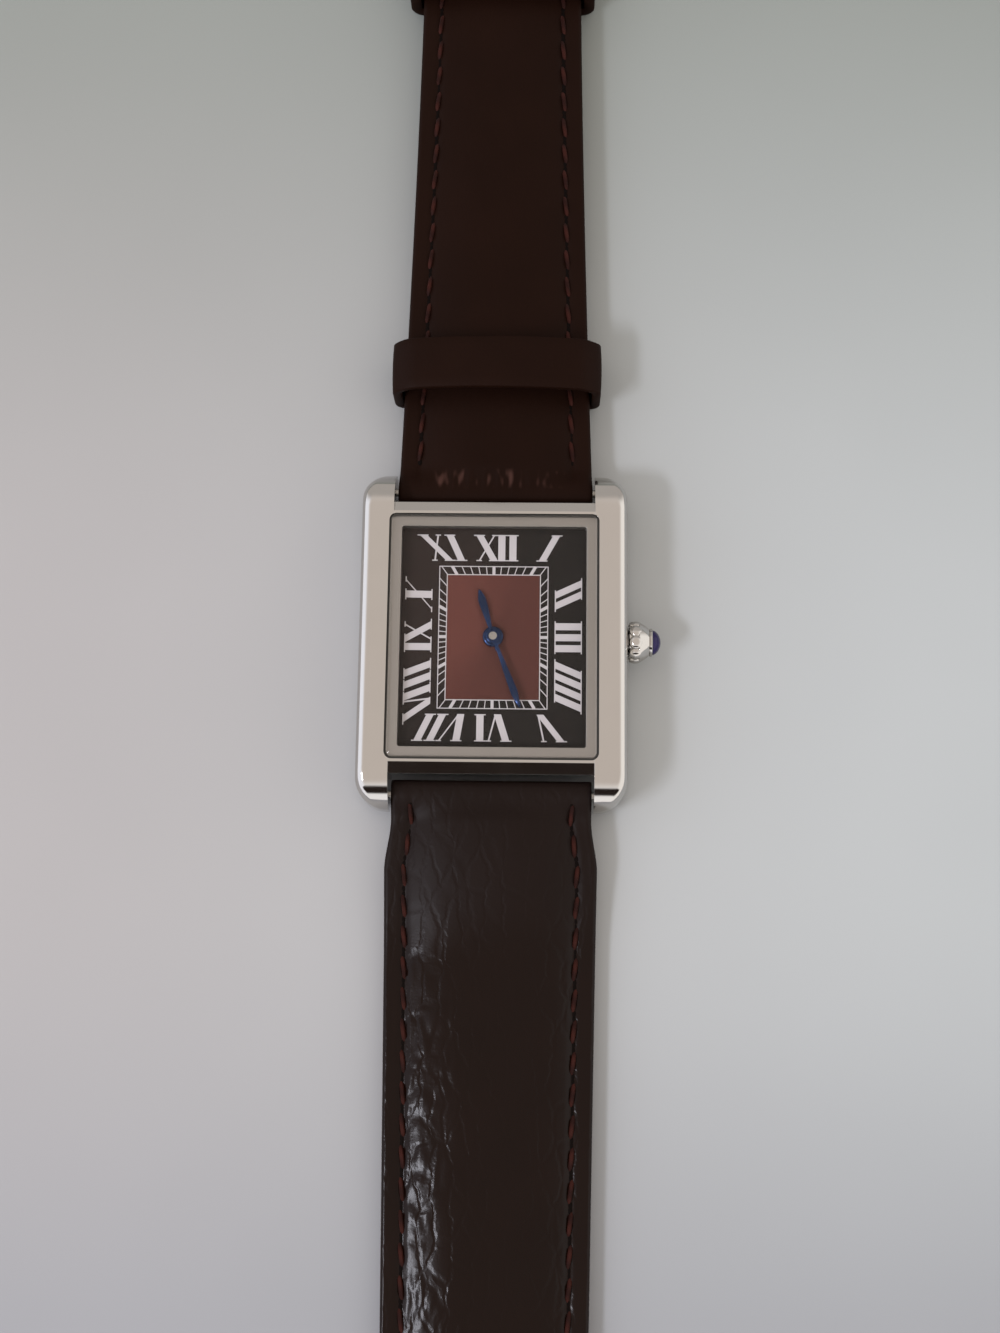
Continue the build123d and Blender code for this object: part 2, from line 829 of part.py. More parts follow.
def rotor():
    at = rotor_place()
    phase = meshed(intermediate_phase(), intermediate_teeth, rotor_angle, rotor_pinion_teeth)
    body = gear(rotor_pinion_teeth, module, level_c_z, level_c_z + wheel_thickness, at, phase)
    body += disc(rotor_magnet_radius, rotor_magnet_z, rotor_magnet_z + rotor_magnet_height, at)
    return body + arbor(at)


def minute_wheel():
    at = minute_wheel_place()
    phase = meshed(0, cannon_teeth, minute_wheel_angle, minute_wheel_teeth)
    wheel = gear(minute_wheel_teeth, module, motion_low_z, motion_low_z + wheel_thickness, at, phase)
    top = motion_high_z + wheel_thickness
    wheel += gear(minute_pinion_teeth, hour_module, motion_low_z, top, at, phase)
    return wheel - disc(minute_post_radius, motion_low_z, top, at)


def hour_wheel():
    phase = meshed(meshed(0, cannon_teeth, minute_wheel_angle, minute_wheel_teeth),
                   minute_pinion_teeth, minute_wheel_angle + 180, hour_wheel_teeth)
    wheel = gear(hour_wheel_teeth, hour_module, motion_high_z, motion_high_z + wheel_thickness, (0, 0), phase)
    top = hour_hand_z + hand_thickness
    wheel += disc(hour_pipe_radius() - 2 * seat_clearance, motion_high_z, top)
    return wheel - disc(hour_pipe_bore(), motion_high_z, top)


# Movement plates
def bridge_pillars():
    return (pillar_top_left, pillar_top_right, pillar_bottom_left, pillar_bottom_right)


def train_bridge():
    width = bridge_right - bridge_left
    length = bridge_top - bridge_bottom
    plate = Pos((bridge_left + bridge_right) / 2, (bridge_bottom + bridge_top) / 2, 0) * slab(
        width, length, bridge_corner, bridge_z, bridge_top_z)
    for place in ((0, 0), third_place(), intermediate_place(), rotor_place()):
        plate -= disc(pivot_radius + running_clearance, bridge_z, bridge_top_z, place)
    for place in bridge_pillars():
        plate -= disc(bridge_screw_radius + seat_clearance, bridge_z, bridge_top_z, place)
    return plate


def bridge_screws():
    screws = []
    for place in bridge_pillars():
        head_z = bridge_z - bridge_screw_head_height
        screw = disc(bridge_screw_head_radius, head_z, bridge_z, place)
        screw += disc(bridge_screw_radius, bridge_z, bridge_z + bridge_screw_depth, place)
        screws.append(screw)
    return Compound(screws)


def main_plate():
    plate = slab(movement_width, movement_length, movement_corner, plate_z, plate_top_z)
    for place in bridge_pillars():
        plate += disc(pillar_radius, bridge_top_z, plate_z, place)
        plate -= disc(bridge_screw_radius + seat_clearance, bridge_top_z,
                      bridge_z + bridge_screw_depth + seat_clearance, place)
    for place in stator_posts():
        plate += disc(stator_post_radius, stator_z + stator_thickness, plate_z, place)
    for place in (board_post_a, board_post_b):
        plate += disc(pillar_radius, board_top_z(), plate_z, place)
    for place in (third_place(), intermediate_place(), rotor_place()):
        plate -= disc(pivot_radius + running_clearance, plate_z, plate_z + 2 * pivot_length, place)
    plate -= disc(centre_arbor_radius + running_clearance, plate_z, plate_top_z)
    for place in (dial_foot_a, dial_foot_b):
        plate -= disc(dial_foot_radius + seat_clearance, plate_z, plate_top_z, place)
    plate -= disc(battery_radius + battery_clearance, plate_z, plate_top_z - battery_roof,
                  (battery_x, battery_y))
    margin = coil_window_margin
    plate -= block(coil_left() - margin, coil_right() + margin, coil_core_reach - coil_radius - margin,
                   movement_length / 2 + overrun, plate_z, plate_top_z)
    plate -= block(stem_start - pinion_window_margin, movement_width / 2 + overrun,
                   -stem_window_half, stem_window_half, plate_z, plate_top_z)
    half = pinion_radius() + pinion_window_margin
    plate -= block(pinion_start - pinion_window_margin, pinion_start + pinion_length + pinion_window_margin,
                   -half, half, plate_z, plate_top_z)
    plate += disc(minute_post_radius - running_clearance, plate_top_z,
                  motion_high_z + wheel_thickness, minute_wheel_place())
    stud = (lever_pivot_x, lever_pivot_y)
    head_z = lever_z - running_clearance - lever_stud_head_height
    plate += disc(lever_stud_radius, head_z, plate_z, stud)
    plate += disc(lever_stud_head_radius, head_z, head_z + lever_stud_head_height, stud)
    return plate


def pinion_radius():
    return pinion_module * (pinion_teeth / 2 + tooth_height_share)


def movement_holder():
    low = bridge_z
    high = dial_z - side_clearance / 2
    outer = slab(cavity_width - 2 * side_clearance, cavity_length - 2 * side_clearance, dial_corner, low, high)
    inner = slab(movement_width + 2 * holder_clearance, movement_length + 2 * holder_clearance,
                 movement_corner, low, high)
    bore = rod(stem_radius + 2 * side_clearance, 0, case_side, (0, stem_z))
    return outer - inner - bore


# Stator, coil, battery and electronics
def stator_posts():
    inset = stator_arm_width / 2
    middle = (stator_bottom + stator_top) / 2
    return ((stator_left + inset, middle), (stator_right - inset, middle))


def coil_left():
    return stator_left + stator_arm_width + coil_end_gap


def coil_right():
    return stator_right - stator_arm_width - coil_end_gap


def stator():
    top = stator_z + stator_thickness
    arm_end = coil_core_reach + coil_core_width / 2
    plate = block(stator_left, stator_right, stator_bottom, stator_top, stator_z, top)
    plate += block(stator_left, stator_left + stator_arm_width, stator_bottom, arm_end, stator_z, top)
    plate += block(stator_right - stator_arm_width, stator_right, stator_bottom, arm_end, stator_z, top)
    return plate - disc(rotor_magnet_radius + rotor_gap, stator_z, top, rotor_place())


def coil_core():
    half = coil_core_width / 2
    return block(stator_left, stator_right, coil_core_reach - half, coil_core_reach + half,
                 coil_core_z, coil_core_z + coil_core_thickness)


def coil_winding():
    half = coil_core_width / 2 + seat_clearance
    body = rod(coil_radius, coil_left(), coil_right(), (coil_core_reach, coil_axis_z))
    return body - block(coil_left(), coil_right(), coil_core_reach - half, coil_core_reach + half,
                        coil_core_z - seat_clearance, coil_core_z + coil_core_thickness + seat_clearance)


def battery():
    at = (battery_x, battery_y)
    cell = disc(battery_radius, battery_z + battery_rim_height, battery_top_z, at)
    return cell + disc(battery_radius - battery_rim_inset, battery_z, battery_z + battery_rim_height, at)


def battery_clip():
    half = clip_width / 2
    left = battery_x - battery_radius - battery_clearance - clip_thickness
    top = battery_z - seat_clearance
    strip = block(left, battery_x + clip_reach, battery_y - half, battery_y + half, top - clip_thickness, top)
    return strip + block(left, left + clip_thickness, battery_y - half, battery_y + half,
                         top - clip_thickness, plate_z)


def board_top_z():
    return bridge_z + board_thickness


def circuit_board():
    middle = Pos((board_left + board_right) / 2, (board_bottom + board_top) / 2, 0)
    return middle * slab(board_right - board_left, board_top - board_bottom, board_corner,
                         bridge_z, board_top_z())


def chip():
    half = chip_side / 2
    x, y = chip_place
    return block(x - half, x + half, y - half, y + half, board_top_z(), board_top_z() + chip_height)


def quartz_can():
    return Pos(can_x, can_y, board_top_z() + can_radius) * Rot(90, 0, 0) * Cylinder(can_radius, can_length)


# Crown, stem and setting parts
def winding_stem():
    end = crown_start + crown_recess_depth + stem_grip
    body = rod(stem_radius, stem_square_end, end, (0, stem_z))
    groove_half = stem_groove_width / 2
    groove = rod(stem_radius + overrun / 4, stem_groove_x - groove_half, stem_groove_x + groove_half, (0, stem_z))
    groove -= rod(stem_groove_radius, stem_groove_x - groove_half, stem_groove_x + groove_half, (0, stem_z))
    half = stem_square / 2
    return body - groove + block(stem_start, stem_square_end, -half, half, stem_z - half, stem_z + half)


def sliding_pinion():
    wheel = gear(pinion_teeth, pinion_module, 0, pinion_length, (0, 0), 0)
    side = stem_square + 2 * running_clearance
    wheel -= Pos(0, 0, pinion_length / 2) * Box(side, side, pinion_length)
    return Pos(pinion_start, 0, stem_z) * Rot(0, 90, 0) * wheel


def setting_lever():
    pivot = (lever_pivot_x, lever_pivot_y)
    pin = (stem_groove_x, 0)
    turn = degrees(lever_swing / 2)
    arm = Pos(pivot[0], pivot[1], lever_z) * Rot(0, 0, turn) * extrude(
        Pos(0, lever_arm / 2, 0) * Rectangle(lever_width, lever_arm), lever_thickness)
    arm += disc(lever_boss_radius, lever_z, lever_z + lever_thickness, pivot)
    arm += disc(lever_width / 2, lever_z, lever_z + lever_thickness, pin)
    arm -= disc(lever_stud_radius + running_clearance, lever_z, lever_z + lever_thickness, pivot)
    return arm + disc(lever_pin_radius, lever_z, stem_z - stem_groove_radius - running_clearance, pin)


def crown_tube():
    body = rod(tube_radius, cavity_width / 2, case_side + tube_projection, (0, stem_z))
    return body - rod(stem_radius + running_clearance, cavity_width / 2, case_side + tube_projection, (0, stem_z))


def crown():
    band_end = crown_start + crown_band_length
    profile = [
        (crown_start, 0),
        (crown_start, crown_neck_radius),
        (crown_start + crown_step, crown_radius),
        (band_end - crown_step, crown_radius),
        (band_end, crown_neck_radius),
        (crown_end, crown_nose_radius),
        (crown_end, 0),
    ]
    body = revolve(make_face(Polyline(*profile, close=True)), Axis.X)
    for flute in range(crown_flutes):
        body -= Rot(flute * 360 / crown_flutes, 0, 0) * rod(crown_flute_radius, crown_start, band_end,
                                                            (crown_radius, 0))
    body -= rod(crown_recess_radius, crown_start, crown_start + crown_recess_depth)
    body -= rod(stem_radius + seat_clearance, crown_start, crown_start + crown_recess_depth + stem_grip
                + seat_clearance)
    body -= rod(cabochon_radius + seat_clearance, crown_end - cabochon_seat_depth, crown_end)
    return Pos(0, 0, stem_z) * body


def crown_cabochon():
    seat = crown_end - cabochon_seat_depth + seat_clearance
    outline = make_face([
        Line((seat, 0), (seat, cabochon_radius)),
        Line((seat, cabochon_radius), (crown_end, cabochon_radius)),
        TangentArc((crown_end + cabochon_height, 0), (crown_end, cabochon_radius), tangent=(0, 1)),
        Line((crown_end + cabochon_height, 0), (seat, 0)),
    ])
    return Pos(0, 0, stem_z) * revolve(outline, Axis.X)


def crown_gasket():
    start = crown_start + crown_gasket_inset
    radius = crown_recess_radius - seat_clearance
    ring = rod(radius, start, start + crown_gasket_length, (0, stem_z))
    return ring - rod(tube_radius + running_clearance, start, start + crown_gasket_length, (0, stem_z))


# Spring bars
def bar_barrel(half_length, radius, bore, at):
    return rod(radius, -half_length, half_length, at) - rod(bore, -half_length, half_length, at)


def bar_tip(side, inner, outer, radius, at):
    low, high = sorted((side * inner, side * outer))
    return rod(radius, low, high, at)


def lug_tip(side, reach):
    outer = strap_gap / 2 + tip_projection
    return bar_tip(side, outer - tip_length, outer, tip_radius, (reach, bar_height))


def bar_spring(half_length, radius, at):
    return bar_barrel(half_length, radius, radius - bar_spring_wall, at)


def lug_barrel_half():
    return strap_gap / 2 - barrel_end_gap


def lug_bar_barrels():
    return Compound([bar_barrel(lug_barrel_half(), barrel_radius, barrel_bore_radius, (side * bar_reach, bar_height))
                     for side in (-1, 1)])


def lug_bar_springs():
    half = strap_gap / 2 + tip_projection - tip_length - bar_spring_gap
    return Compound([bar_spring(half, tip_radius, (side * bar_reach, bar_height)) for side in (-1, 1)])


def buckle_barrel_half():
    return buckle_gap_width / 2 - side_clearance


def buckle_tip(side):
    outer = buckle_gap_width / 2 + tip_projection
    return bar_tip(side, outer - tip_length, outer, buckle_tip_radius, (buckle_reach, buckle_height))


def buckle_spring():
    half = buckle_gap_width / 2 + tip_projection - tip_length - bar_spring_gap
    return bar_spring(half, buckle_tip_radius, (buckle_reach, buckle_height))


def buckle_bar_barrel():
    return bar_barrel(buckle_barrel_half(), buckle_barrel_radius, buckle_barrel_bore_radius,
                      (buckle_reach, buckle_height))


# Strap halves, both modelled towards +Y and turned for the lower half
def short_width(reach):
    share = min(max((reach - strap_start) / (buckle_reach - strap_start), 0), 1)
    return short_strap_end_width + (strap_width - short_strap_end_width) * (1 - share) ** taper_power


def short_floor(reach):
    return strap_rise


def long_width(reach):
    out = reach - bar_reach
    if out <= long_strap_shoulder:
        share = smooth((out - long_strap_neck) / (long_strap_shoulder - long_strap_neck))
        return strap_width + (long_strap_shoulder_width - strap_width) * share
    share = (out - long_strap_shoulder) / (long_strap_length - long_strap_shoulder)
    return long_strap_shoulder_width + (long_strap_tip_width - long_strap_shoulder_width) * share


def long_floor(reach):
    out = reach - bar_reach
    share = (out - long_strap_settle_start) / (long_strap_settle_end - long_strap_settle_start)
    return strap_rise * (1 - smooth(share))


def cross_plane(reach):
    return Plane(origin=(0, reach, 0), x_dir=(1, 0, 0), z_dir=(0, -1, 0))


def lining_section(reach, width, floor, crown_height):
    half = width / 2
    top = floor + lining_thickness
    outline = Polyline((-half, floor), (half, floor), (half, top), (-half, top), close=True)
    return cross_plane(reach) * make_face(outline)


def upper_section(reach, width, floor, crown_height):
    half = width / 2
    seam = half - seam_inset
    low = floor + lining_thickness + glue_line
    top = low + upper_thickness
    return cross_plane(reach) * make_face([
        Line((-half, low), (-half, top)),
        Line((-half, top), (-seam, top)),
        ThreePointArc((-seam, top), (0, top + crown_height), (seam, top)),
        Line((seam, top), (half, top)),
        Line((half, top), (half, low)),
        Line((half, low), (seam, low)),
        ThreePointArc((seam, low), (0, low + crown_height), (-seam, low)),
        Line((-seam, low), (-half, low)),
    ])


def filler_section(reach, width, floor, crown_height):
    seam = width / 2 - seam_inset - glue_line
    low = floor + lining_thickness + glue_line
    return cross_plane(reach) * make_face([
        Line((-seam, low), (seam, low)),
        ThreePointArc((seam, low), (0, low + crown_height - glue_line), (-seam, low)),
    ])


def strap_stations(shares, length):
    stations = []
    for share, pad_share in shares:
        reach = strap_start + share * (length - strap_start_gap)
        stations.append((reach, max(filler_height * pad_share, least_crown)))
    return stations


def strap_layer(section, stations, width_at, floor_at):
    return loft([section(reach, width_at(reach), floor_at(reach), crown_height)
                 for reach, crown_height in stations], ruled=True)


def bar_loop(outer, radius, width, at):
    return rod(outer, -width / 2, width / 2, at) - rod(radius, -width / 2, width / 2, at)


def bar_way(outer, width, at):
    return rod(outer + glue_line, -width, width, at)


def padded_stations(stations):
    return [station for station in stations if station[1] > 2 * least_crown]


def tongue_slot():
    half = tongue_width / 2 + tongue_slot_clearance
    return block(-half, half, buckle_reach - tongue_slot_depth, buckle_reach + overrun * 2,
                 strap_rise - overrun, strap_rise + keeper_height)


def case_loop_place():
    return bar_reach, bar_height


def case_loop_width():
    return strap_width - 2 * side_clearance


def buckle_loop_place():
    return buckle_reach, buckle_height


def strap_short_layers():
    stations = strap_stations(short_pad_shares, short_strap_length - strap_start_gap)
    case_way = bar_way(loop_radius, strap_width, case_loop_place())
    buckle_way = bar_way(buckle_loop_radius, strap_width, buckle_loop_place())
    case_bore = rod(barrel_radius + running_clearance, -strap_width, strap_width, case_loop_place())
    buckle_bore = rod(buckle_barrel_radius + running_clearance, -strap_width, strap_width, buckle_loop_place())
    upper = strap_layer(upper_section, stations, short_width, short_floor)
    upper += bar_loop(loop_radius, barrel_radius + running_clearance, case_loop_width(), case_loop_place())
    upper += bar_loop(buckle_loop_radius, buckle_barrel_radius + running_clearance,
                      short_strap_end_width - 2 * side_clearance, buckle_loop_place())
    upper = upper - case_bore - buckle_bore - tongue_slot()
    lining = strap_layer(lining_section, stations, short_width, short_floor)
    lining = lining - case_way - buckle_way - tongue_slot()
    filler = strap_layer(filler_section, padded_stations(stations), short_width, short_floor) - case_way
    return upper, filler, lining


def long_tip_shape():
    tip = bar_reach + long_strap_length
    shoulder = tip - long_strap_point
    half = long_width(shoulder) / 2
    wide = long_strap_shoulder_width
    body = make_face([
        Line((-half, shoulder), (-wide, shoulder)),
        Line((-wide, shoulder), (-wide, 0)),
        Line((-wide, 0), (wide, 0)),
        Line((wide, 0), (wide, shoulder)),
        Line((wide, shoulder), (half, shoulder)),
        TangentArc((half, shoulder), (0, tip), tangent=(0, 1)),
        TangentArc((-half, shoulder), (0, tip), tangent=(0, 1)),
    ])
    return extrude(Pos(0, 0, -overrun) * body, keeper_height + overrun)


def strap_holes():
    tip = bar_reach + long_strap_length
    return [tip - last_hole_from_tip - hole * hole_pitch for hole in range(hole_count)]


def strap_long_layers():
    stations = strap_stations(long_pad_shares, long_strap_length)
    case_way = bar_way(loop_radius, strap_width, case_loop_place())
    case_bore = rod(barrel_radius + running_clearance, -strap_width, strap_width, case_loop_place())
    shape = long_tip_shape()
    upper = strap_layer(upper_section, stations, long_width, long_floor) & shape
    upper += bar_loop(loop_radius, barrel_radius + running_clearance, case_loop_width(), case_loop_place())
    upper -= case_bore
    lining = (strap_layer(lining_section, stations, long_width, long_floor) & shape) - case_way
    filler = strap_layer(filler_section, padded_stations(stations), long_width, long_floor) - case_way
    for reach in strap_holes():
        hole = disc(hole_radius, -overrun, keeper_height, (0, reach))
        upper -= hole
        lining -= hole
    return [Rot(0, 0, 180) * layer for layer in (upper, filler, lining)]


# Thread: one small bar for each stitch that shows on top
def stitches(start, end, width_at, floor_at):
    stitch = []
    count = int((end - start) / stitch_pitch)
    for step in range(count):
        reach = start + (step + 0.5) * (end - start) / count
        near = reach - stitch_length / 2
        far = reach + stitch_length / 2
        x_near = width_at(near) / 2 - stitch_margin
        x_far = width_at(far) / 2 - stitch_margin
        lean = degrees(asin((x_near - x_far) / stitch_length))
        top = max(floor_at(near), floor_at(far))
        z = top + lining_thickness + glue_line + upper_thickness + stitch_height / 2 + seat_clearance
        for side in (-1, 1):
            stitch.append(Pos(side * (x_near + x_far) / 2, reach, z) * Rot(0, 0, side * lean)
                          * Box(stitch_width, stitch_length, stitch_height))
    return stitch


def stitching_short():
    start = bar_reach + stitch_start
    return Compound(stitches(start, buckle_reach - stitch_start, short_width, short_floor))


def stitching_long():
    start = bar_reach + stitch_start
    end = bar_reach + long_strap_length - long_strap_point
    return Compound([Rot(0, 0, 180) * piece for piece in stitches(start, end, long_width, long_floor)])


# Keepers
def keeper(width, height, wall, reach):
    outer = Pos(0, height / 2) * RectangleRounded(width, height, keeper_corner)
    inner = Pos(0, height / 2) * RectangleRounded(width - 2 * wall, height - 2 * wall, keeper_inner_corner)
    return extrude(cross_plane(reach) * (outer - inner), -keeper_length)


def sliding_keeper():
    return keeper(keeper_width, keeper_height, keeper_wall, sliding_keeper_reach)


def fixed_keeper():
    return keeper(fixed_keeper_width, fixed_keeper_height, strap_rise - glue_line, fixed_keeper_reach)


# Buckle
def buckle_frame():
    back = buckle_reach - buckle_back
    front = buckle_reach + buckle_front
    low = buckle_height - buckle_thickness / 2
    side = [(back, low), (back, low + buckle_thickness), (front, buckle_thickness), (front, 0)]
    body = side_prism(side, -buckle_width / 2, buckle_width / 2)
    middle = Pos(0, (back + front) / 2, 0)
    tall = keeper_height
    body &= middle * slab(buckle_width, front - back, buckle_corner / 2, -overrun, tall)
    inner_front = front - buckle_bar_depth
    half = buckle_gap_width / 2
    body -= block(-half, half, back - overrun, inner_front, -overrun, tall)
    hole = half + tip_projection + side_clearance
    return body - rod(buckle_bore_radius, -hole, hole, buckle_loop_place())


def tongue_top_line():
    front = buckle_reach + buckle_front
    inner = front - buckle_bar_depth
    low = buckle_height - buckle_thickness / 2
    share = (inner - (buckle_reach - buckle_back)) / (buckle_back + buckle_front)
    return low * (1 - share) + buckle_thickness + running_clearance


def buckle_tongue():
    half = tongue_width / 2
    y, z = buckle_loop_place()
    radius = buckle_barrel_radius + running_clearance
    low = tongue_top_line()
    high = low + tongue_thickness
    tip = y + tongue_reach
    side = [(y, z), (y, z + radius + tongue_ring_wall), (y + radius, high), (tip - tongue_nose, high),
            (tip, low + tongue_lift), (tip, low), (y + radius + tongue_ring_wall, low),
            (y + radius + tongue_ring_wall, z)]
    body = side_prism(side, -half, half)
    body += rod(radius + tongue_ring_wall, -half, half, (y, z))
    return body - rod(radius, -half, half, (y, z))


# Files
def save(node, shape):
    export_step(shape, os.path.join("parts", node + ".step"))


def main():
    os.makedirs("parts", exist_ok=True)
    short_upper, short_filler, short_lining = strap_short_layers()
    long_upper, long_filler, long_lining = strap_long_layers()
    save("case_middle", case_middle())
    save("case_back", case_back())
    save("case_back_gasket", case_back_gasket())
    save("case_back_screws", case_back_screws())
    save("crystal", crystal())
    save("crystal_gasket", crystal_gasket())
    save("dial_flange", dial_flange())
    save("dial", dial())
    save("hour_numerals", hour_numerals())
    save("minute_track", minute_track())
    save("hour_hand", hour_hand())
    save("minute_hand", minute_hand())
    save("movement_holder", movement_holder())
    save("main_plate", main_plate())
    save("train_bridge", train_bridge())
    save("bridge_screws", bridge_screws())
    save("centre_wheel", centre_wheel())
    save("cannon_pinion", cannon_pinion())
    save("third_wheel", third_wheel())
    save("intermediate_wheel", intermediate_wheel())
    save("rotor", rotor())
    save("minute_wheel", minute_wheel())
    save("hour_wheel", hour_wheel())
    save("stator", stator())
    save("coil_core", coil_core())
    save("coil_winding", coil_winding())
    save("battery", battery())
    save("battery_clip", battery_clip())
    save("circuit_board", circuit_board())
    save("chip", chip())
    save("quartz_can", quartz_can())
    save("winding_stem", winding_stem())
    save("sliding_pinion", sliding_pinion())
    save("setting_lever", setting_lever())
    save("crown_tube", crown_tube())
    save("crown", crown())
    save("crown_cabochon", crown_cabochon())
    save("crown_gasket", crown_gasket())
    save("lug_bar_barrels", lug_bar_barrels())
    save("lug_bar_springs", lug_bar_springs())
    save("upper_bar_tip_left", lug_tip(-1, bar_reach))
    save("upper_bar_tip_right", lug_tip(1, bar_reach))
    save("lower_bar_tip_left", lug_tip(-1, -bar_reach))
    save("lower_bar_tip_right", lug_tip(1, -bar_reach))
    save("strap_short_upper", short_upper)
    save("strap_short_filler", short_filler)
    save("strap_short_lining", short_lining)
    save("strap_long_upper", long_upper)
    save("strap_long_filler", long_filler)
    save("strap_long_lining", long_lining)
    save("stitching_short", stitching_short())
    save("stitching_long", stitching_long())
    save("fixed_keeper", fixed_keeper())
    save("sliding_keeper", sliding_keeper())
    save("buckle_frame", buckle_frame())
    save("buckle_tongue", buckle_tongue())
    save("buckle_bar_barrel", buckle_bar_barrel())
    save("buckle_bar_spring", buckle_spring())
    save("buckle_tip_left", buckle_tip(-1))
    save("buckle_tip_right", buckle_tip(1))


if __name__ == "__main__":
    main()
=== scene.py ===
from math import atan2, cos, exp, hypot, pi, radians, sin, sqrt

import bmesh
import bpy
from bpy.props import FloatProperty, FloatVectorProperty, IntProperty, PointerProperty
from mathutils import Matrix, Vector, noise


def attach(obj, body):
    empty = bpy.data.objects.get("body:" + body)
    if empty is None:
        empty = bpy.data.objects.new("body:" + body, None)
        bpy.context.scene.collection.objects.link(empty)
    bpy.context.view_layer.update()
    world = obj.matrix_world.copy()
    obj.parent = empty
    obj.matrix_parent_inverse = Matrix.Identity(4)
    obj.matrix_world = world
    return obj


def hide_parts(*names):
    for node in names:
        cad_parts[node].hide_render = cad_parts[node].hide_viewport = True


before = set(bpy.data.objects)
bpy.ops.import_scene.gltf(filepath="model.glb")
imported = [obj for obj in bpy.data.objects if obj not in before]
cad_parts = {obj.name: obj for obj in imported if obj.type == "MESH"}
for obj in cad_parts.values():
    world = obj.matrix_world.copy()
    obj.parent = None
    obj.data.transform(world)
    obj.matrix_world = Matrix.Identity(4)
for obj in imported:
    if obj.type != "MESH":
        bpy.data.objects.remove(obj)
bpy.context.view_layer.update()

bl_info = {
    "name": "Rectangular Wristwatch",
    "version": (1, 0, 0),
    "blender": (4, 5, 0),
    "location": "View3D > Sidebar > Watch",
    "description": "Dresses the packed wristwatch with its steel, glass, dial, leather and thread",
    "category": "Object",
}

# Shapes are drawn in millimetres, as in the solids, and scaled to metres when they are finished.
MM = 0.001
MERGE = 1e-4

# Places that the pieces share with the solids
BAR_REACH = 15.7
BAR_HEIGHT = 3.0
BUCKLE_REACH = 85.7
BUCKLE_HEIGHT = 2.26
STRAP_START = 15.9
STRAP_RISE = 1.2
LINING = 0.95
GLUE = 0.05
UPPER = 1.0
PAD = 1.4
SEAM_INSET = 2.2
STITCH_MARGIN = 2.0
LONG_TIP = 130.7
LONG_SHOULDER = 121.7
CROWN_START = 13.65
CROWN_END = 16.25
STEM_HEIGHT = 3.15
HOUR_HAND_HEIGHT = 5.0
MINUTE_HAND_HEIGHT = 5.36
HAND_TAIL = 1.5
HOUR_ANGLE = (11 + 26.5 / 60) * 30
MINUTE_ANGLE = 26.5 * 6
# The minute track's inner line, inside which the dial's field is warm, and its soft edge
FIELD_HALF_WIDTH = 4.76
FIELD_HALF_LENGTH = 6.49
FIELD_BLUR = 0.03
# The crystal, which stops a hair above the satin ring that carries it
CRYSTAL_WIDTH = 20.76
CRYSTAL_LENGTH = 24.66
CRYSTAL_BOTTOM = 5.88
CRYSTAL_TOP = 6.85
# The leather round the case's bars: how far it stands out in front and above, and its bore's radius
WRAP_REACH = 1.4
WRAP_HEIGHT = 1.35
BAR_BORE = 0.69
# The loops round the buckle's bar, and the slot between them in which the tongue turns
LOOP_OUTER = 1.14
LOOP_INNER = 0.64
LOOP_START = 1.3
SLOT_WIDTH = 2.6
SLOT_DEPTH = 4.2
SLOT_CORNER = 0.6
# The holes of the long half, the first one this far from its tip
HOLE_COUNT = 6
HOLE_RADIUS = 1.0
HOLE_PITCH = 6.2
FIRST_HOLE = 24.0
# Where both linings start, and how much narrower they are on each side
LINING_START = 17.0
LINING_INSET = 0.12
# The stitches: their pitch, half their span along the seam, and how many go round the tip
STITCH_PITCH = 3.0
STITCH_HALF = 1.05
TIP_STITCHES = 9
# How finely the leather is drawn, along and across
GRAIN_STEP = 0.4
GRAIN_ACROSS = 0.24


def linear(text):
    """The linear values of a colour written as an sRGB hex value."""
    values = [int(text[place:place + 2], 16) / 255 for place in (1, 3, 5)]
    return tuple(v / 12.92 if v <= 0.04045 else ((v + 0.055) / 1.055) ** 2.4 for v in values) + (1.0,)


def colour(name, description, text):
    return FloatVectorProperty(name=name, description=description, subtype="COLOR", size=4, min=0, max=1,
                               default=linear(text))


def length(name, description, millimetres):
    return FloatProperty(name=name, description=description, unit="LENGTH", default=millimetres * MM)


def mm(value):
    return value / MM


class CaseSettings(bpy.types.PropertyGroup):
    """Colours of the steel and the gaskets, and the rounding of the case's edges."""
    edge: length("Polished edge", "Radius that the polishing wheel leaves on the case's edges", 0.12)
    steel: colour("Steel", "Colour of the polished steel", "#C8C5C1")
    satin: colour("Satin steel", "Colour of the brushed back", "#BEB9B2")
    ring: colour("Ring", "Colour of the matt ring under the crystal", "#9F9A94")
    gasket: colour("Gasket", "Colour of the rubber round the crystal", "#26241F")


class DialSettings(bpy.types.PropertyGroup):
    """Colours of the dial and sizes of the hands."""
    centre: colour("Dial centre", "Colour of the sunray field inside the minute track", "#58322B")
    border: colour("Dial border", "Colour of the field under the numerals", "#1B1714")
    print_tone: colour("Print", "Colour of the printed numerals and track", "#C6C1C3")
    hands: colour("Hands", "Colour of the blued steel", "#1B2C4C")
    hour_length: length("Hour hand", "Length of the hour hand from its centre", 5.15)
    minute_length: length("Minute hand", "Length of the minute hand from its centre", 7.9)
    hour_hub: length("Hour hub", "Radius of the hour hand's hub", 1.05)
    minute_hub: length("Minute hub", "Radius of the minute hand's hub", 0.8)


class CrownSettings(bpy.types.PropertyGroup):
    """Sizes and colour of the crown."""
    lobes: IntProperty(name="Lobes", description="Rounded lobes round the crown's grip", default=9, min=6,
                       max=40)
    lobe_width: length("Lobe", "Half the width of one lobe, round the crown", 0.72)
    stone: colour("Stone", "Colour of the cabochon", "#1E1446")


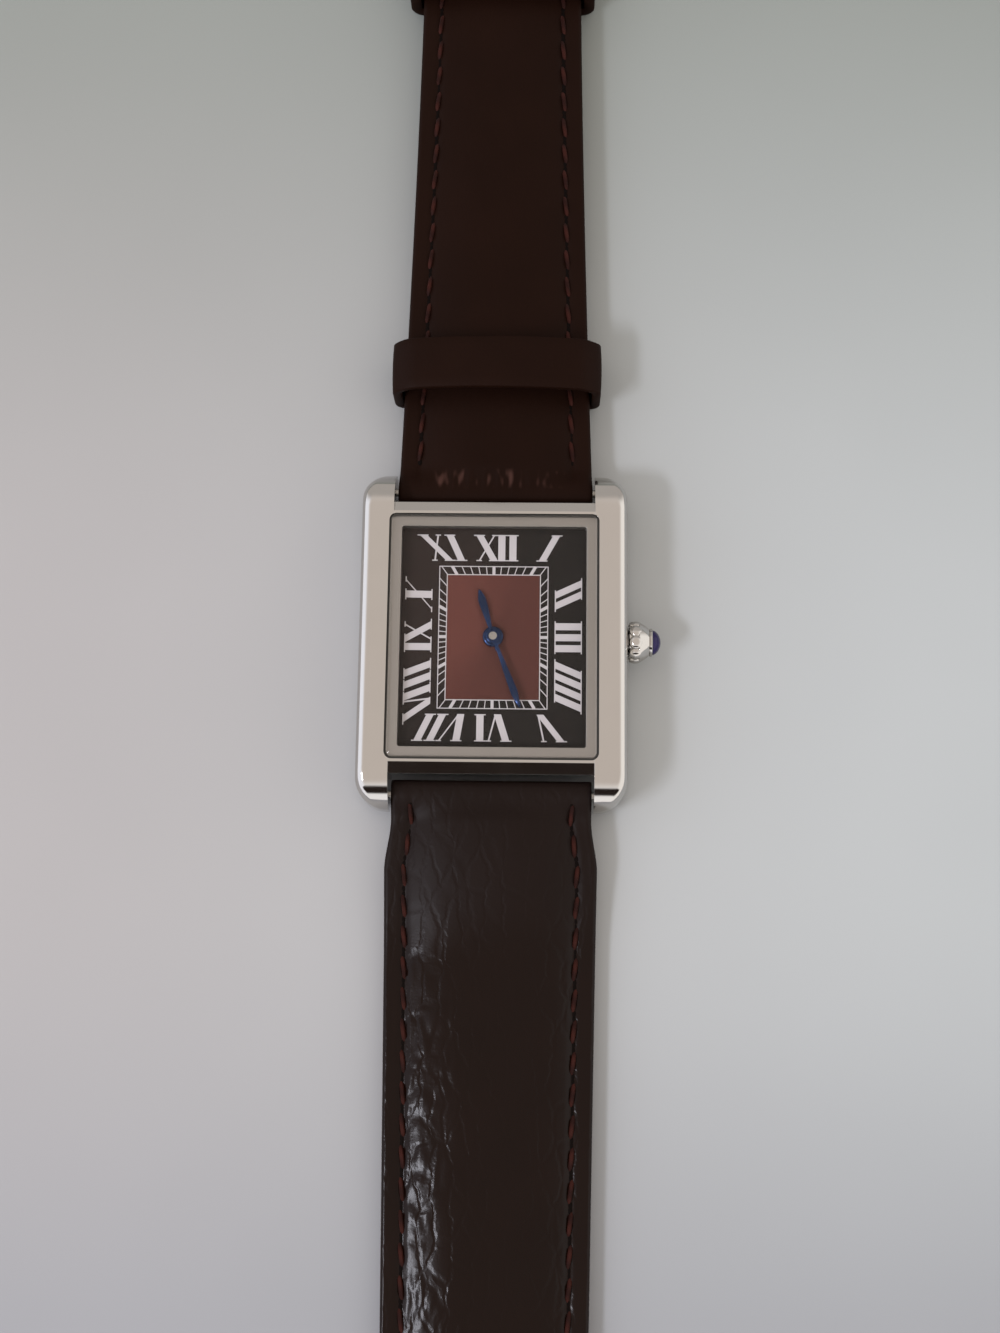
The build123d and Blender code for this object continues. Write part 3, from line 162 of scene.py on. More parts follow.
class StrapSettings(bpy.types.PropertyGroup):
    """Sizes and colours of the strap halves and the keepers."""
    width: length("Width", "Width of the strap's ends at the case", 20.0)
    buckle_width: length("Buckle end", "Width of the short half at the buckle", 17.0)
    shoulder_width: length("Shoulder", "Greatest width of the long half", 21.2)
    tip_width: length("Tip", "Width of the long half before its point", 18.0)
    crease: length("Crease", "Depth of the creases in the grain", 0.08)
    leather: colour("Leather", "Colour of the upper leather", "#150905")
    lining: colour("Lining", "Colour of the lining leather", "#5A3D2E")
    thread: colour("Thread", "Colour of the sewing thread", "#30130D")


class StageSettings(bpy.types.PropertyGroup):
    """Colours of the table and the sky, and the power of the lamp."""
    table: colour("Table", "Colour of the table at the watch", "#BABFC0")
    sky: colour("Sky", "Colour of the light from overhead", "#C1B8B1")
    lamp: FloatProperty(name="Window", description="Power of the window lamp in watts", default=0.6, min=0)


SETTINGS = {"watch_case": CaseSettings, "watch_dial": DialSettings, "watch_crown": CrownSettings,
            "watch_strap": StrapSettings, "watch_stage": StageSettings}


# Materials

# What a mix of two colours is set to, and a range that starts and ends slowly
COLOURS = {"output": 2, "data_type": "RGBA"}
EASED = {"interpolation_type": "SMOOTHSTEP"}


def fill(tree, node, inputs):
    """Gives a node's inputs their values or links."""
    for key, value in inputs.items():
        if isinstance(value, bpy.types.NodeSocket):
            tree.links.new(value, node.inputs[key])
        else:
            node.inputs[key].default_value = value


def add(tree, kind, inputs, output=0, **settings):
    """Adds a shader node with its settings, values and links, and gives one of its outputs."""
    node = tree.nodes.new("ShaderNode" + kind)
    for name, value in settings.items():
        setattr(node, name, value)
    fill(tree, node, inputs)
    return node.outputs[output]


def new_surface(name):
    """A material with one Principled shader, its node tree and its Object coordinates."""
    made = bpy.data.materials.new(name)
    made.use_nodes = True
    return made, made.node_tree, add(made.node_tree, "TexCoord", {}, "Object")


def shaded(made, inputs):
    """A material once its shader has these input values and links."""
    fill(made.node_tree, made.node_tree.nodes["Principled BSDF"], inputs)
    return made


def read_by(made, key):
    """What a material's shader reads at one of its inputs."""
    return made.node_tree.nodes["Principled BSDF"].inputs[key].links[0].from_socket


def per_mm(size):
    """Texture scale that gives features of this size in millimetres."""
    return 1 / (size * MM)


def shade_of(tone, factor):
    return tuple(min(value * factor, 1.0) for value in tone[:3]) + (1.0,)


def polished_steel():
    """Stainless steel polished on a wheel: near mirror, with a faint haze that varies over millimetres."""
    made, tree, place = new_surface("polished_stainless_steel")
    steel = tuple(bpy.context.scene.watch_case.steel)
    haze = add(tree, "TexNoise", {"Vector": place, "Scale": per_mm(4.0), "Detail": 4.0})
    fine = add(tree, "TexNoise", {"Vector": place, "Scale": per_mm(0.5), "Detail": 3.0})
    return shaded(made, {
        "Metallic": 1.0,
        "Base Color": add(tree, "Mix", {0: haze, 6: shade_of(steel, 0.94), 7: steel}, **COLOURS),
        "Roughness": add(tree, "MapRange", {"Value": haze, "To Min": 0.05, "To Max": 0.13}),
        "Normal": add(tree, "Bump", {"Height": fine, "Strength": 0.02, "Distance": 0.02 * MM})})


def brushed(name, tone, rough_low, rough_high, grain=(0.08, 3.0, 3.0)):
    """A brushed or turned metal: fine parallel scratches that catch light as thin lines of another tone."""
    made, tree, place = new_surface(name)
    drawn = add(tree, "Mapping", {"Vector": place, "Scale": tuple(per_mm(size) for size in grain)})
    scratch = add(tree, "TexNoise", {"Vector": drawn, "Scale": 1.0, "Detail": 3.0})
    return shaded(made, {
        "Metallic": 1.0,
        "Base Color": add(tree, "Mix", {0: scratch, 6: shade_of(tone, 0.82), 7: shade_of(tone, 1.08)},
                          **COLOURS),
        "Roughness": add(tree, "MapRange", {"Value": scratch, "To Min": rough_low, "To Max": rough_high}),
        "Normal": add(tree, "Bump", {"Height": scratch, "Strength": 0.2, "Distance": 0.05 * MM})})


def satin_steel():
    """Stainless steel brushed to a satin finish: dull lines 0.08 mm apart."""
    return brushed("satin_stainless_steel", bpy.context.scene.watch_case.satin, 0.32, 0.46)


def turned_steel():
    """Hardened steel turned on a lathe, for stems, tips, barrels and screws."""
    return brushed("turned_hardened_steel", linear("#B3B0AA"), 0.22, 0.36, (0.1, 1.0, 1.0))


def brass():
    """Rolled and cut brass of the wheels: warm yellow with fine lines."""
    return brushed("rolled_brass", linear("#C9A25A"), 0.25, 0.4)


def plated_brass():
    """Nickel-plated brass with a pearled finish: pale yellow-grey."""
    return brushed("nickel_plated_brass", linear("#C3B88F"), 0.2, 0.34, (0.2, 0.8, 0.8))


def silicon_steel():
    """Laminated silicon steel of the stator and coil core: grey and slightly blue."""
    return brushed("silicon_steel", linear("#8C9096"), 0.3, 0.45)


def battery_steel():
    """Nickel-plated pressed steel of the battery and the quartz can: bright with soft drawing marks."""
    return brushed("pressed_nickel_plated_steel", linear("#BFC0BF"), 0.16, 0.3, (0.6, 0.6, 0.6))


def speckled(name, tone, size, rough, sockets=None, low=0.8, high=1.15, lift=0.02):
    """A moulded or cast surface: an even colour with a fine mottle and a slight texture from the mould."""
    made, tree, place = new_surface(name)
    grain = add(tree, "TexNoise", {"Vector": place, "Scale": per_mm(size), "Detail": 4.0})
    return shaded(made, {
        "Roughness": rough, **(sockets or {}),
        "Base Color": add(tree, "Mix", {0: grain, 6: shade_of(tone, low), 7: shade_of(tone, high)},
                          **COLOURS),
        "Normal": add(tree, "Bump", {"Height": grain, "Strength": 0.3, "Distance": lift * MM})})


def blasted_steel():
    """Bead-blasted steel of the ring under the crystal: an even grey with pits 0.05 mm across."""
    return speckled("bead_blasted_steel", bpy.context.scene.watch_case.ring, 0.05, 0.48, {"Metallic": 1.0},
                    low=0.93, high=1.05, lift=0.01)


def black_rubber():
    """Moulded nitrile rubber of the gaskets: dark and matt."""
    return speckled("nitrile_rubber", bpy.context.scene.watch_case.gasket, 0.3, 0.6)


def silver_print():
    """Pale silver ink printed in several passes: slightly raised, with a grain of 0.06 mm."""
    return speckled("silver_ink", bpy.context.scene.watch_dial.print_tone, 0.06, 0.5, low=0.9, high=1.06,
                    lift=0.01)


def magnet():
    """Sintered magnet and its dark steel arbor."""
    return speckled("sintered_magnet", linear("#4A4A4C"), 0.12, 0.4, {"Metallic": 0.8})


def movement_plastic():
    """Glass-filled acetal of the movement holder and small wheel: off-white and matt."""
    return speckled("moulded_acetal", linear("#CFCBC0"), 0.25, 0.5, low=0.92, high=1.04)


def chip_black():
    """Black epoxy of the chip: dark with a fine matt grain."""
    return speckled("black_epoxy", linear("#17171A"), 0.1, 0.45)


def painted_hole_shade():
    """Painted shade in the pricked holes that the thread goes down: near-black and dull."""
    return speckled("painted_hole_shade", linear("#0E0806"), 0.15, 0.7, {"Specular IOR Level": 0.05})


def mineral_glass():
    """Mineral glass, coated so that it reflects little: clear, with an almost unseen swell from polishing."""
    made, tree, place = new_surface("mineral_glass")
    swell = add(tree, "TexNoise", {"Vector": place, "Scale": per_mm(6.0), "Detail": 1.0})
    shaded(made, {
        "Base Color": (1.0, 1.0, 1.0, 1.0), "Roughness": 0.0, "IOR": 1.27, "Transmission Weight": 1.0,
        "Normal": add(tree, "Bump", {"Height": swell, "Strength": 0.02, "Distance": 0.01 * MM})})
    # Light on its way to and from the dial passes straight through, and is counted once.
    rays = add(tree, "LightPath", {}).node.outputs
    soft = add(tree, "Math", {0: rays["Is Diffuse Ray"], 1: rays["Is Glossy Ray"]}, operation="MAXIMUM")
    through = add(tree, "Math", {0: rays["Is Shadow Ray"], 1: soft}, operation="MAXIMUM")
    glass = tree.nodes["Principled BSDF"].outputs["BSDF"]
    clear = add(tree, "BsdfTransparent", {"Color": (0.96, 0.96, 0.96, 1.0)})
    pane = add(tree, "MixShader", {0: through, 1: glass, 2: clear})
    fill(tree, tree.nodes["Material Output"], {"Surface": pane})
    return made


def copper_wire():
    """Enamelled copper wire wound in even turns 0.06 mm wide: drawn 0.15 mm wide so that the turns show."""
    made, tree, place = new_surface("enamelled_copper_wire")
    turns = add(tree, "TexWave", {"Vector": place, "Scale": per_mm(0.15) / 20, "Distortion": 0.0}, "Fac",
                bands_direction="X")
    return shaded(made, {
        "Metallic": 1.0, "Roughness": 0.28,
        "Base Color": add(tree, "Mix", {0: turns, 6: linear("#6B2C14"), 7: linear("#C6703C")}, **COLOURS),
        "Normal": add(tree, "Bump", {"Height": turns, "Strength": 0.5, "Distance": 0.04 * MM})})


def board_green():
    """Green solder mask over glass-fibre board, with the weave faintly raised every 0.4 mm."""
    made, tree, place = new_surface("glass_fibre_board")
    weave = add(tree, "TexChecker", {"Vector": place, "Scale": per_mm(0.4), "Color1": linear("#1F5B35"),
                                     "Color2": linear("#256840")}).node.outputs
    return shaded(made, {
        "Roughness": 0.35, "Base Color": weave["Color"],
        "Normal": add(tree, "Bump", {"Height": weave["Fac"], "Strength": 0.2, "Distance": 0.01 * MM})})


def dial_lacquer():
    """Lacquer over a sunray-brushed brass plate: fine rays from the centre, warm inside the track, with a
    painted sheen in one wide fan to the left.
    """
    made, tree, place = new_surface("sunray_lacquer")
    tones = bpy.context.scene.watch_dial
    axes = add(tree, "SeparateXYZ", {"Vector": place}).node.outputs
    # The field inside the minute track, as a mask with a slightly soft printed edge.
    mask = 1.0
    for axis, half in (("X", FIELD_HALF_WIDTH), ("Y", FIELD_HALF_LENGTH)):
        size = add(tree, "Math", {0: axes[axis]}, operation="ABSOLUTE")
        inside = add(tree, "MapRange", {"Value": size, "From Min": (half + FIELD_BLUR) * MM,
                                        "From Max": (half - FIELD_BLUR) * MM})
        mask = add(tree, "Math", {0: mask, 1: inside}, operation="MULTIPLY")
    # Rays: noise read along the angle round the centre. A painted sheen lightens them in one wide fan to the
    # left.
    angle = add(tree, "Math", {0: axes["Y"], 1: axes["X"]}, operation="ARCTAN2")
    rays = add(tree, "TexNoise", {"W": angle, "Scale": 14.0, "Detail": 1.0}, noise_dimensions="1D")
    off = add(tree, "Math", {0: angle, 1: radians(158)}, operation="SUBTRACT")
    fan = add(tree, "Math", {0: off}, operation="COSINE")
    painted_sheen = add(tree, "MapRange", {"Value": fan, "From Min": -0.2}, **EASED)
    streak = add(tree, "MapRange", {"Value": rays, "From Min": 0.3, "From Max": 0.7, "To Min": -0.12,
                                    "To Max": 0.12})
    # The rays together with the painted sheen
    light = add(tree, "Math", {0: painted_sheen, 1: streak}, operation="ADD", use_clamp=True)
    # Both fields run from their own colour to a paler painted sheen where the rays and the fan are light.
    dark = add(tree, "Mix", {0: light, 6: tuple(tones.border), 7: linear("#2C221E")}, **COLOURS)
    warm = add(tree, "Mix", {0: light, 6: shade_of(tones.centre, 0.92), 7: shade_of(tones.centre, 1.32)},
               **COLOURS)
    return shaded(made, {
        "Specular IOR Level": 0.15,
        "Base Color": add(tree, "Mix", {0: mask, 6: dark, 7: warm}, **COLOURS),
        "Roughness": add(tree, "MapRange", {"Value": rays, "To Min": 0.36, "To Max": 0.5})})


def blued_steel():
    """Steel tempered blue in an oven: deep blue metal, almost black where it reflects nothing."""
    made, tree, place = new_surface("tempered_blue_steel")
    tone = bpy.context.scene.watch_dial.hands
    drift = add(tree, "TexNoise", {"Vector": place, "Scale": per_mm(1.2), "Detail": 2.0})
    return shaded(made, {
        "Metallic": 0.75, "Roughness": 0.2,
        "Base Color": add(tree, "Mix", {0: drift, 6: shade_of(tone, 0.7), 7: shade_of(tone, 1.3)}, **COLOURS),
        "Normal": add(tree, "Bump", {"Height": drift, "Strength": 0.05, "Distance": 0.01 * MM})})


def blue_stone():
    """Synthetic spinel cut as a cabochon: dark violet-blue glass-like stone with a wet gloss."""
    made, tree, place = new_surface("blue_spinel_cabochon")
    tone = bpy.context.scene.watch_crown.stone
    cloud = add(tree, "TexNoise", {"Vector": place, "Scale": per_mm(0.9), "Detail": 2.0})
    return shaded(made, {
        "Roughness": 0.08, "Specular IOR Level": 0.3,
        "Base Color": add(tree, "Mix", {0: cloud, 6: shade_of(tone, 0.55), 7: shade_of(tone, 1.6)},
                          **COLOURS)})


def leather(name, tone, rough, crease_size, gloss, crease_depth):
    """Grained calf: pores 0.35 mm apart, and creases in long cells that show only where light glances."""
    made, tree, place = new_surface(name)
    bent = add(tree, "TexNoise", {"Vector": place, "Scale": per_mm(1.6), "Detail": 3.0}, "Color")
    offset = add(tree, "VectorMath", {0: bent, 1: (0.5, 0.5, 0.5)}, operation="SUBTRACT")
    drawn = add(tree, "VectorMath", {0: offset, "Scale": 1.1 * MM}, operation="SCALE")
    moved = add(tree, "VectorMath", {0: place, 1: drawn}, operation="ADD")
    stretched = add(tree, "Mapping", {"Vector": moved, "Scale": (
        per_mm(crease_size), per_mm(crease_size * 2.4), per_mm(crease_size * 2.4))})
    cells = add(tree, "TexVoronoi", {"Vector": stretched, "Scale": 1.0}, "Distance",
                feature="DISTANCE_TO_EDGE")
    crease = add(tree, "MapRange", {"Value": cells, "From Max": 0.16}, **EASED)
    pores = add(tree, "TexVoronoi", {"Vector": place, "Scale": per_mm(0.35)}, "Distance")
    pore = add(tree, "MapRange", {"Value": pores, "From Max": 0.45, "To Min": 0.88})
    height = add(tree, "Math", {0: crease, 1: pore}, operation="MULTIPLY")
    broad = add(tree, "TexNoise", {"Vector": place, "Scale": per_mm(7.0), "Detail": 3.0})
    return shaded(made, {
        "Specular IOR Level": gloss,
        "Base Color": add(tree, "Mix", {0: broad, 6: shade_of(tone, 0.8), 7: shade_of(tone, 1.2)}, **COLOURS),
        "Roughness": add(tree, "MapRange", {"Value": broad, "To Min": rough, "To Max": rough + 0.1}),
        "Normal": add(tree, "Bump", {"Height": height, "Strength": 0.5, "Distance": crease_depth * MM})})


def glazed_leather():
    """The long half: calf glazed to a gloss, so that its creases show in the highlight."""
    # The strap's leather colour, drawn darker here than on the short half as painted shade.
    made = leather("glazed_calf", bpy.context.scene.watch_strap.leather, 0.15, 1.7, 0.14, 0.05)
    tree = made.node_tree
    # The glaze is duller within a finger's width of the case.
    along = add(tree, "SeparateXYZ", {"Vector": add(tree, "TexCoord", {}, "Object")}, "Y")
    dull = add(tree, "MapRange", {"Value": along, "From Min": -34 * MM, "From Max": -24 * MM, "To Max": 0.3},
               **EASED)
    return shaded(made, {"Roughness": add(tree, "Math", {0: read_by(made, "Roughness"), 1: dull},
                                          operation="ADD")})


def matt_leather():
    """The short half and the keepers: the same calf, less glazed and drawn lighter, with painted highlights
    on the folds by the case.
    """
    # The same calf 1.5 times lighter than the long half, whose darker tone is painted shade.
    tone = shade_of(bpy.context.scene.watch_strap.leather, 1.5)
    made = leather("matt_calf", tone, 0.46, 1.1, 0.05, 0.01)
    tree = made.node_tree
    place = add(tree, "TexCoord", {}, "Object")
    axes = add(tree, "SeparateXYZ", {"Vector": place}).node.outputs
    drawn = add(tree, "Mapping", {"Vector": place, "Scale": (per_mm(0.6), per_mm(2.0), per_mm(2.0))})
    glint_spots = add(tree, "TexNoise", {"Vector": drawn, "Scale": 1.0, "Detail": 0.0})
    fold_highlight = add(tree, "MapRange", {"Value": glint_spots, "From Min": 0.5, "From Max": 0.85}, **EASED)
    # Painted highlights only within about a millimetre of the folds, and not beside the seams.
    for axis, middle, outer, inner in (("X", 0.0, 7.6, 6.4), ("Y", 16.9, 1.1, 0.5)):
        off = add(tree, "Math", {0: axes[axis], 1: middle * MM}, operation="SUBTRACT")
        size = add(tree, "Math", {0: off}, operation="ABSOLUTE")
        gate = add(tree, "MapRange", {"Value": size, "From Min": outer * MM, "From Max": inner * MM})
        fold_highlight = add(tree, "Math", {0: fold_highlight, 1: gate}, operation="MULTIPLY")
    # The folds' painted highlights: a paler, pinkish brown over the leather's tone.
    return shaded(made, {"Base Color": add(tree, "Mix", {
        0: fold_highlight, 6: read_by(made, "Base Color"), 7: linear("#452E28")}, **COLOURS)})


def lining_leather():
    """Split calf of the lining: paler, with a soft nap."""
    return leather("lining_calf", bpy.context.scene.watch_strap.lining, 0.65, 0.8, 0.25, 0.03)


def waxed_thread():
    """Waxed polyester thread: two plies laid 0.3 mm apart round the thread, with a dull sheen."""
    made, tree, place = new_surface("waxed_thread")
    tone = bpy.context.scene.watch_strap.thread
    leaned = add(tree, "Mapping", {"Vector": place, "Rotation": (0.0, 0.0, radians(35))})
    plies = add(tree, "TexWave", {"Vector": leaned, "Scale": per_mm(0.3) / 20, "Distortion": 0.4}, "Fac",
                bands_direction="Y")
    return shaded(made, {
        "Roughness": 0.55, "Sheen Weight": 0.03, "Specular IOR Level": 0.1,
        "Base Color": add(tree, "Mix", {0: plies, 6: shade_of(tone, 0.55), 7: shade_of(tone, 1.2)},
                          **COLOURS),
        "Normal": add(tree, "Bump", {"Height": plies, "Strength": 0.6, "Distance": 0.05 * MM})})


def table_top():
    """Matt painted table: pale grey, with painted shade that makes it a little darker to the left and towards
    both ends of the strap.
    """
    made, tree, place = new_surface("matt_painted_table")
    axes = add(tree, "SeparateXYZ", {"Vector": place}).node.outputs
    # Painted shade: the tone is darker to the left and towards both ends of the strap.
    shown = linear("#ADABAB")
    for axis, low, high, tone in (("X", -55, 55, tuple(bpy.context.scene.watch_stage.table)),
                                  ("Y", -20, -90, linear("#989A9F")), ("Y", 0, 100, linear("#8F9590"))):
        share = add(tree, "MapRange", {"Value": axes[axis], "From Min": low * MM, "From Max": high * MM},
                    **EASED)
        shown = add(tree, "Mix", {0: share, 6: shown, 7: tone}, **COLOURS)
    paint = add(tree, "TexNoise", {"Vector": place, "Scale": per_mm(30.0), "Detail": 2.0})
    veil = add(tree, "MapRange", {"Value": paint, "To Min": 0.96, "To Max": 1.03})
    return shaded(made, {
        "Roughness": 0.75, "Specular IOR Level": 0.2,
        "Base Color": add(tree, "Mix", {0: 1.0, 6: shown, 7: veil}, blend_type="MULTIPLY", **COLOURS)})


finishes = {}


def finish(maker):
    """The one material that a maker function gives."""
    if maker not in finishes:
        finishes[maker] = maker()
    return finishes[maker]


# Pieces
def make_piece(name, bm, body, maker, replaced=(), sharp=35.0, scaled=True):
    """Merges, scales and smooths a shape, and lets it ride on its body with its finish."""
    if scaled:
        bmesh.ops.remove_doubles(bm, verts=bm.verts, dist=MERGE)
        bmesh.ops.scale(bm, vec=(MM, MM, MM), verts=bm.verts)
    bmesh.ops.recalc_face_normals(bm, faces=bm.faces)
    for face in bm.faces:
        face.smooth = True
    for edge in bm.edges:
        edge.smooth = len(edge.link_faces) != 2 or edge.calc_face_angle() < radians(sharp)
    mesh = bpy.data.meshes.new(name)
    bm.to_mesh(mesh)
    bm.free()
    piece = bpy.data.objects.new(name, mesh)
    bpy.context.scene.collection.objects.link(piece)
    mesh.materials.append(finish(maker))
    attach(piece, body)
    if replaced:
        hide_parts(*replaced)
    return piece


def dressed_copy(name, node, body, maker, edge, sharp=28.0):
    """A merged copy of a solid with its edges softened, which stands for the solid."""
    bm = bmesh.new()
    bm.from_mesh(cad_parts[node].data)
    bmesh.ops.remove_doubles(bm, verts=bm.verts, dist=0.002 * MM)
    bmesh.ops.dissolve_limit(bm, angle_limit=radians(1.0), verts=bm.verts, edges=bm.edges)
    piece = make_piece(name, bm, body, maker, (node,), sharp, scaled=False)
    if edge:
        soft = piece.modifiers.new("softened_edges", "BEVEL")
        soft.width = edge * MM
        soft.segments = 3
        soft.limit_method = "ANGLE"
        soft.angle_limit = radians(sharp)
        soft.use_clamp_overlap = True
        soft.harden_normals = False
        weighted = piece.modifiers.new("weighted_normals", "WEIGHTED_NORMAL")
        weighted.keep_sharp = True
    return piece


def turned(bm, outline, centre, steps=48, upright=False, ring=False):
    """Spins an outline of (along, radius) points a full turn round the X axis, or round Z if upright."""
    x0, y0, z0 = centre
    if upright:
        points = [(x0 + radius, y0, z0 + along) for along, radius in outline]
    else:
        points = [(x0 + along, y0, z0 + radius) for along, radius in outline]
    verts = [bm.verts.new(point) for point in points]
    pairs = list(zip(verts, verts[1:])) + ([(verts[-1], verts[0])] if ring else [])
    edges = [bm.edges.new(pair) for pair in pairs]
    bmesh.ops.spin(bm, geom=verts + edges, cent=centre, axis=(0, 0, 1) if upright else (1, 0, 0),
                   dvec=(0, 0, 0), angle=2 * pi, steps=steps, use_merge=True, use_duplicate=False)


def wrapped_grid(bm, columns, rows, place):
    """A grid whose vertex in each column and row is moved to place(column, row)."""
    made = bmesh.ops.create_grid(bm, x_segments=columns, y_segments=rows, size=1.0)["verts"]
    for vert in made:
        column = round((vert.co.x + 1) / 2 * columns)
        row = round((vert.co.y + 1) / 2 * rows)
        vert.co = place(column, row)
    return made


def close_ends(bm):
    """Fills the open ends that are left after the seam is merged."""
    bmesh.ops.remove_doubles(bm, verts=bm.verts, dist=MERGE)
    open_edges = [edge for edge in bm.edges if len(edge.link_faces) == 1]
    bmesh.ops.holes_fill(bm, edges=open_edges, sides=0)


def arc(centre, radius, start, end, steps):
    """Points on an arc, with its angles in degrees."""
    turns = [radians(start + (end - start) * step / steps) for step in range(steps + 1)]
    return [(centre[0] + radius * cos(turn), centre[1] + radius * sin(turn)) for turn in turns]


def upright_edges(bm):
    return [edge for edge in bm.edges if abs(edge.verts[0].co.z - edge.verts[1].co.z) > 0.5]


def rounded(bm, edges, radius, segments):
    """Rounds these edges of a shape."""
    bmesh.ops.bevel(bm, geom=edges, offset=radius, segments=segments, profile=0.5, affect="EDGES",
                    material=-1)


def smooth(share):
    """A share from 0 to 1 that starts and ends slowly."""
    inside = min(max(share, 0.0), 1.0)
    return inside * inside * (3 - 2 * inside)


# Strap shape
SHORT_PAD_SHARES = ((0.0, 0.3), (0.012, 0.75), (0.03, 1.0), (0.12, 0.88), (0.22, 0.78),
                    (0.5, 0.6), (0.8, 0.4), (0.93, 0.2), (1.0, 0.1))
LONG_PAD_SHARES = ((0.0, 0.3), (0.007, 0.75), (0.02, 1.0), (0.06, 1.0), (0.142, 0.97), (0.3, 0.92),
                   (0.4, 0.85), (0.46, 0.6), (0.5, 0.1), (1.0, 0.1))


def between(table, share):
    """The value of a table of shares at a place, joined by straight runs."""
    for (a, low), (b, high) in zip(table, table[1:]):
        if share <= b:
            return low + (high - low) * (share - a) / (b - a)
    return table[-1][1]


def short_width(reach):
    sizes = bpy.context.scene.watch_strap
    share = min(max((reach - STRAP_START) / (BUCKLE_REACH - STRAP_START), 0), 1)
    narrow = mm(sizes.buckle_width)
    return narrow + (mm(sizes.width) - narrow) * (1 - share) ** 1.6


def short_floor(reach):
    return STRAP_RISE


def short_crown(reach):
    return PAD * between(SHORT_PAD_SHARES, (reach - STRAP_START) / (BUCKLE_REACH - STRAP_START))


def long_width(reach):
    sizes = bpy.context.scene.watch_strap
    out = reach - BAR_REACH
    wide = mm(sizes.shoulder_width)
    widening, widest = 2.6, 7.6
    if out <= widest:
        return mm(sizes.width) + (wide - mm(sizes.width)) * smooth((out - widening) / (widest - widening))
    share = (out - widest) / (LONG_TIP - BAR_REACH - widest)
    full = wide + (mm(sizes.tip_width) - wide) * share
    past = (reach - LONG_SHOULDER) / (LONG_TIP - LONG_SHOULDER)
    return full * sqrt(max(1 - past * past, 0)) if past > 0 else full


def long_floor(reach):
    flat_end, slope_length = 2.3, 14.0
    return STRAP_RISE * (1 - smooth((reach - BAR_REACH - flat_end) / slope_length))


def long_crown(reach):
    return PAD * between(LONG_PAD_SHARES, (reach - STRAP_START) / (LONG_TIP - STRAP_START))


def creases(x, reach, seed):
    """How deep the creases of the grain are at a place, from 0 to 1."""
    bend = noise.noise(Vector((x * 0.35, reach * 0.3, seed)))
    lean = noise.noise(Vector((x * 0.9, reach * 0.5, seed + 7)))
    cell_width, cell_length, line = 1.9, 3.2, 0.22
    distances, _ = noise.voronoi(Vector((
        (x + 1.3 * bend + 0.3 * lean) / cell_width, (reach + 0.8 * lean) / cell_length, seed)))
    edge = distances[1] - distances[0]
    strength = 0.7 + 0.7 * noise.noise(Vector((x * 0.16, reach * 0.09, seed + 3)))
    return max(strength, 0.1) * exp(-(edge / line) ** 2)


def strap_relief(x, reach, half, crown, matt):
    """Height that the padding, the seam, the folds and the creases add to the flat leather."""
    seam = half - SEAM_INSET
    inside = 1 - abs(x / seam) ** 2.5 if seam > 1 and abs(x) < seam else 0
    raised = crown * max(inside, 0)
    stitched = smooth((half - 4) / 2)
    groove_depth, groove_half = 0.16, 0.32
    groove = -groove_depth * exp(-((abs(x) - (half - STITCH_MARGIN)) / groove_half) ** 2) * stitched
    # The glazed half is creased and wavy on one shoulder, from a finger's width below the case.
    worn = 0.12 if matt else 0.06 + 0.94 * smooth((reach - 22) / 16) * smooth((x - 1) / 4)
    broad = 0.06 * noise.noise(Vector((x * 0.22, reach * 0.12, 11.0)))
    broad += 0.05 * worn * noise.noise(Vector((x * 0.45, reach * 0.3, 4.0)))
    depth = mm(bpy.context.scene.watch_strap.crease) * worn
    padded = smooth(crown / 0.4)
    fine = -depth * creases(x, reach, 2.0 if matt else 5.0) * padded * smooth((inside - 0.02) / 0.2)
    return raised + groove + broad * padded + fine


def case_folds(x, reach):
    """The short folds that the leather throws where it turns down to the bar."""
    pitch, rise, middle, length_half = 1.55, 0.16, 16.6, 0.8
    ridge = max(sin(2 * pi * x / pitch + 0.5 * sin(x)), 0) ** 2
    fade = exp(-((reach - middle - 0.25 * sin(2.1 * x)) / length_half) ** 2)
    return rise * ridge * fade * smooth((7.5 - abs(x)) / 2)


def at_bar(reach):
    """Half the thickness of the leather round the bar, and the share to which it has left the bar."""
    out = max(BAR_REACH - reach, 0) / WRAP_REACH
    return WRAP_HEIGHT * max(1 - out ** 3, 1e-4) ** (1 / 3), smooth((reach - BAR_REACH) / 2.8)


def rim_height(reach, floor):
    """Height of the upper leather beside its padding."""
    wrap, settled = at_bar(reach)
    return (BAR_HEIGHT + wrap) * (1 - settled) + (floor + LINING + GLUE + UPPER) * settled


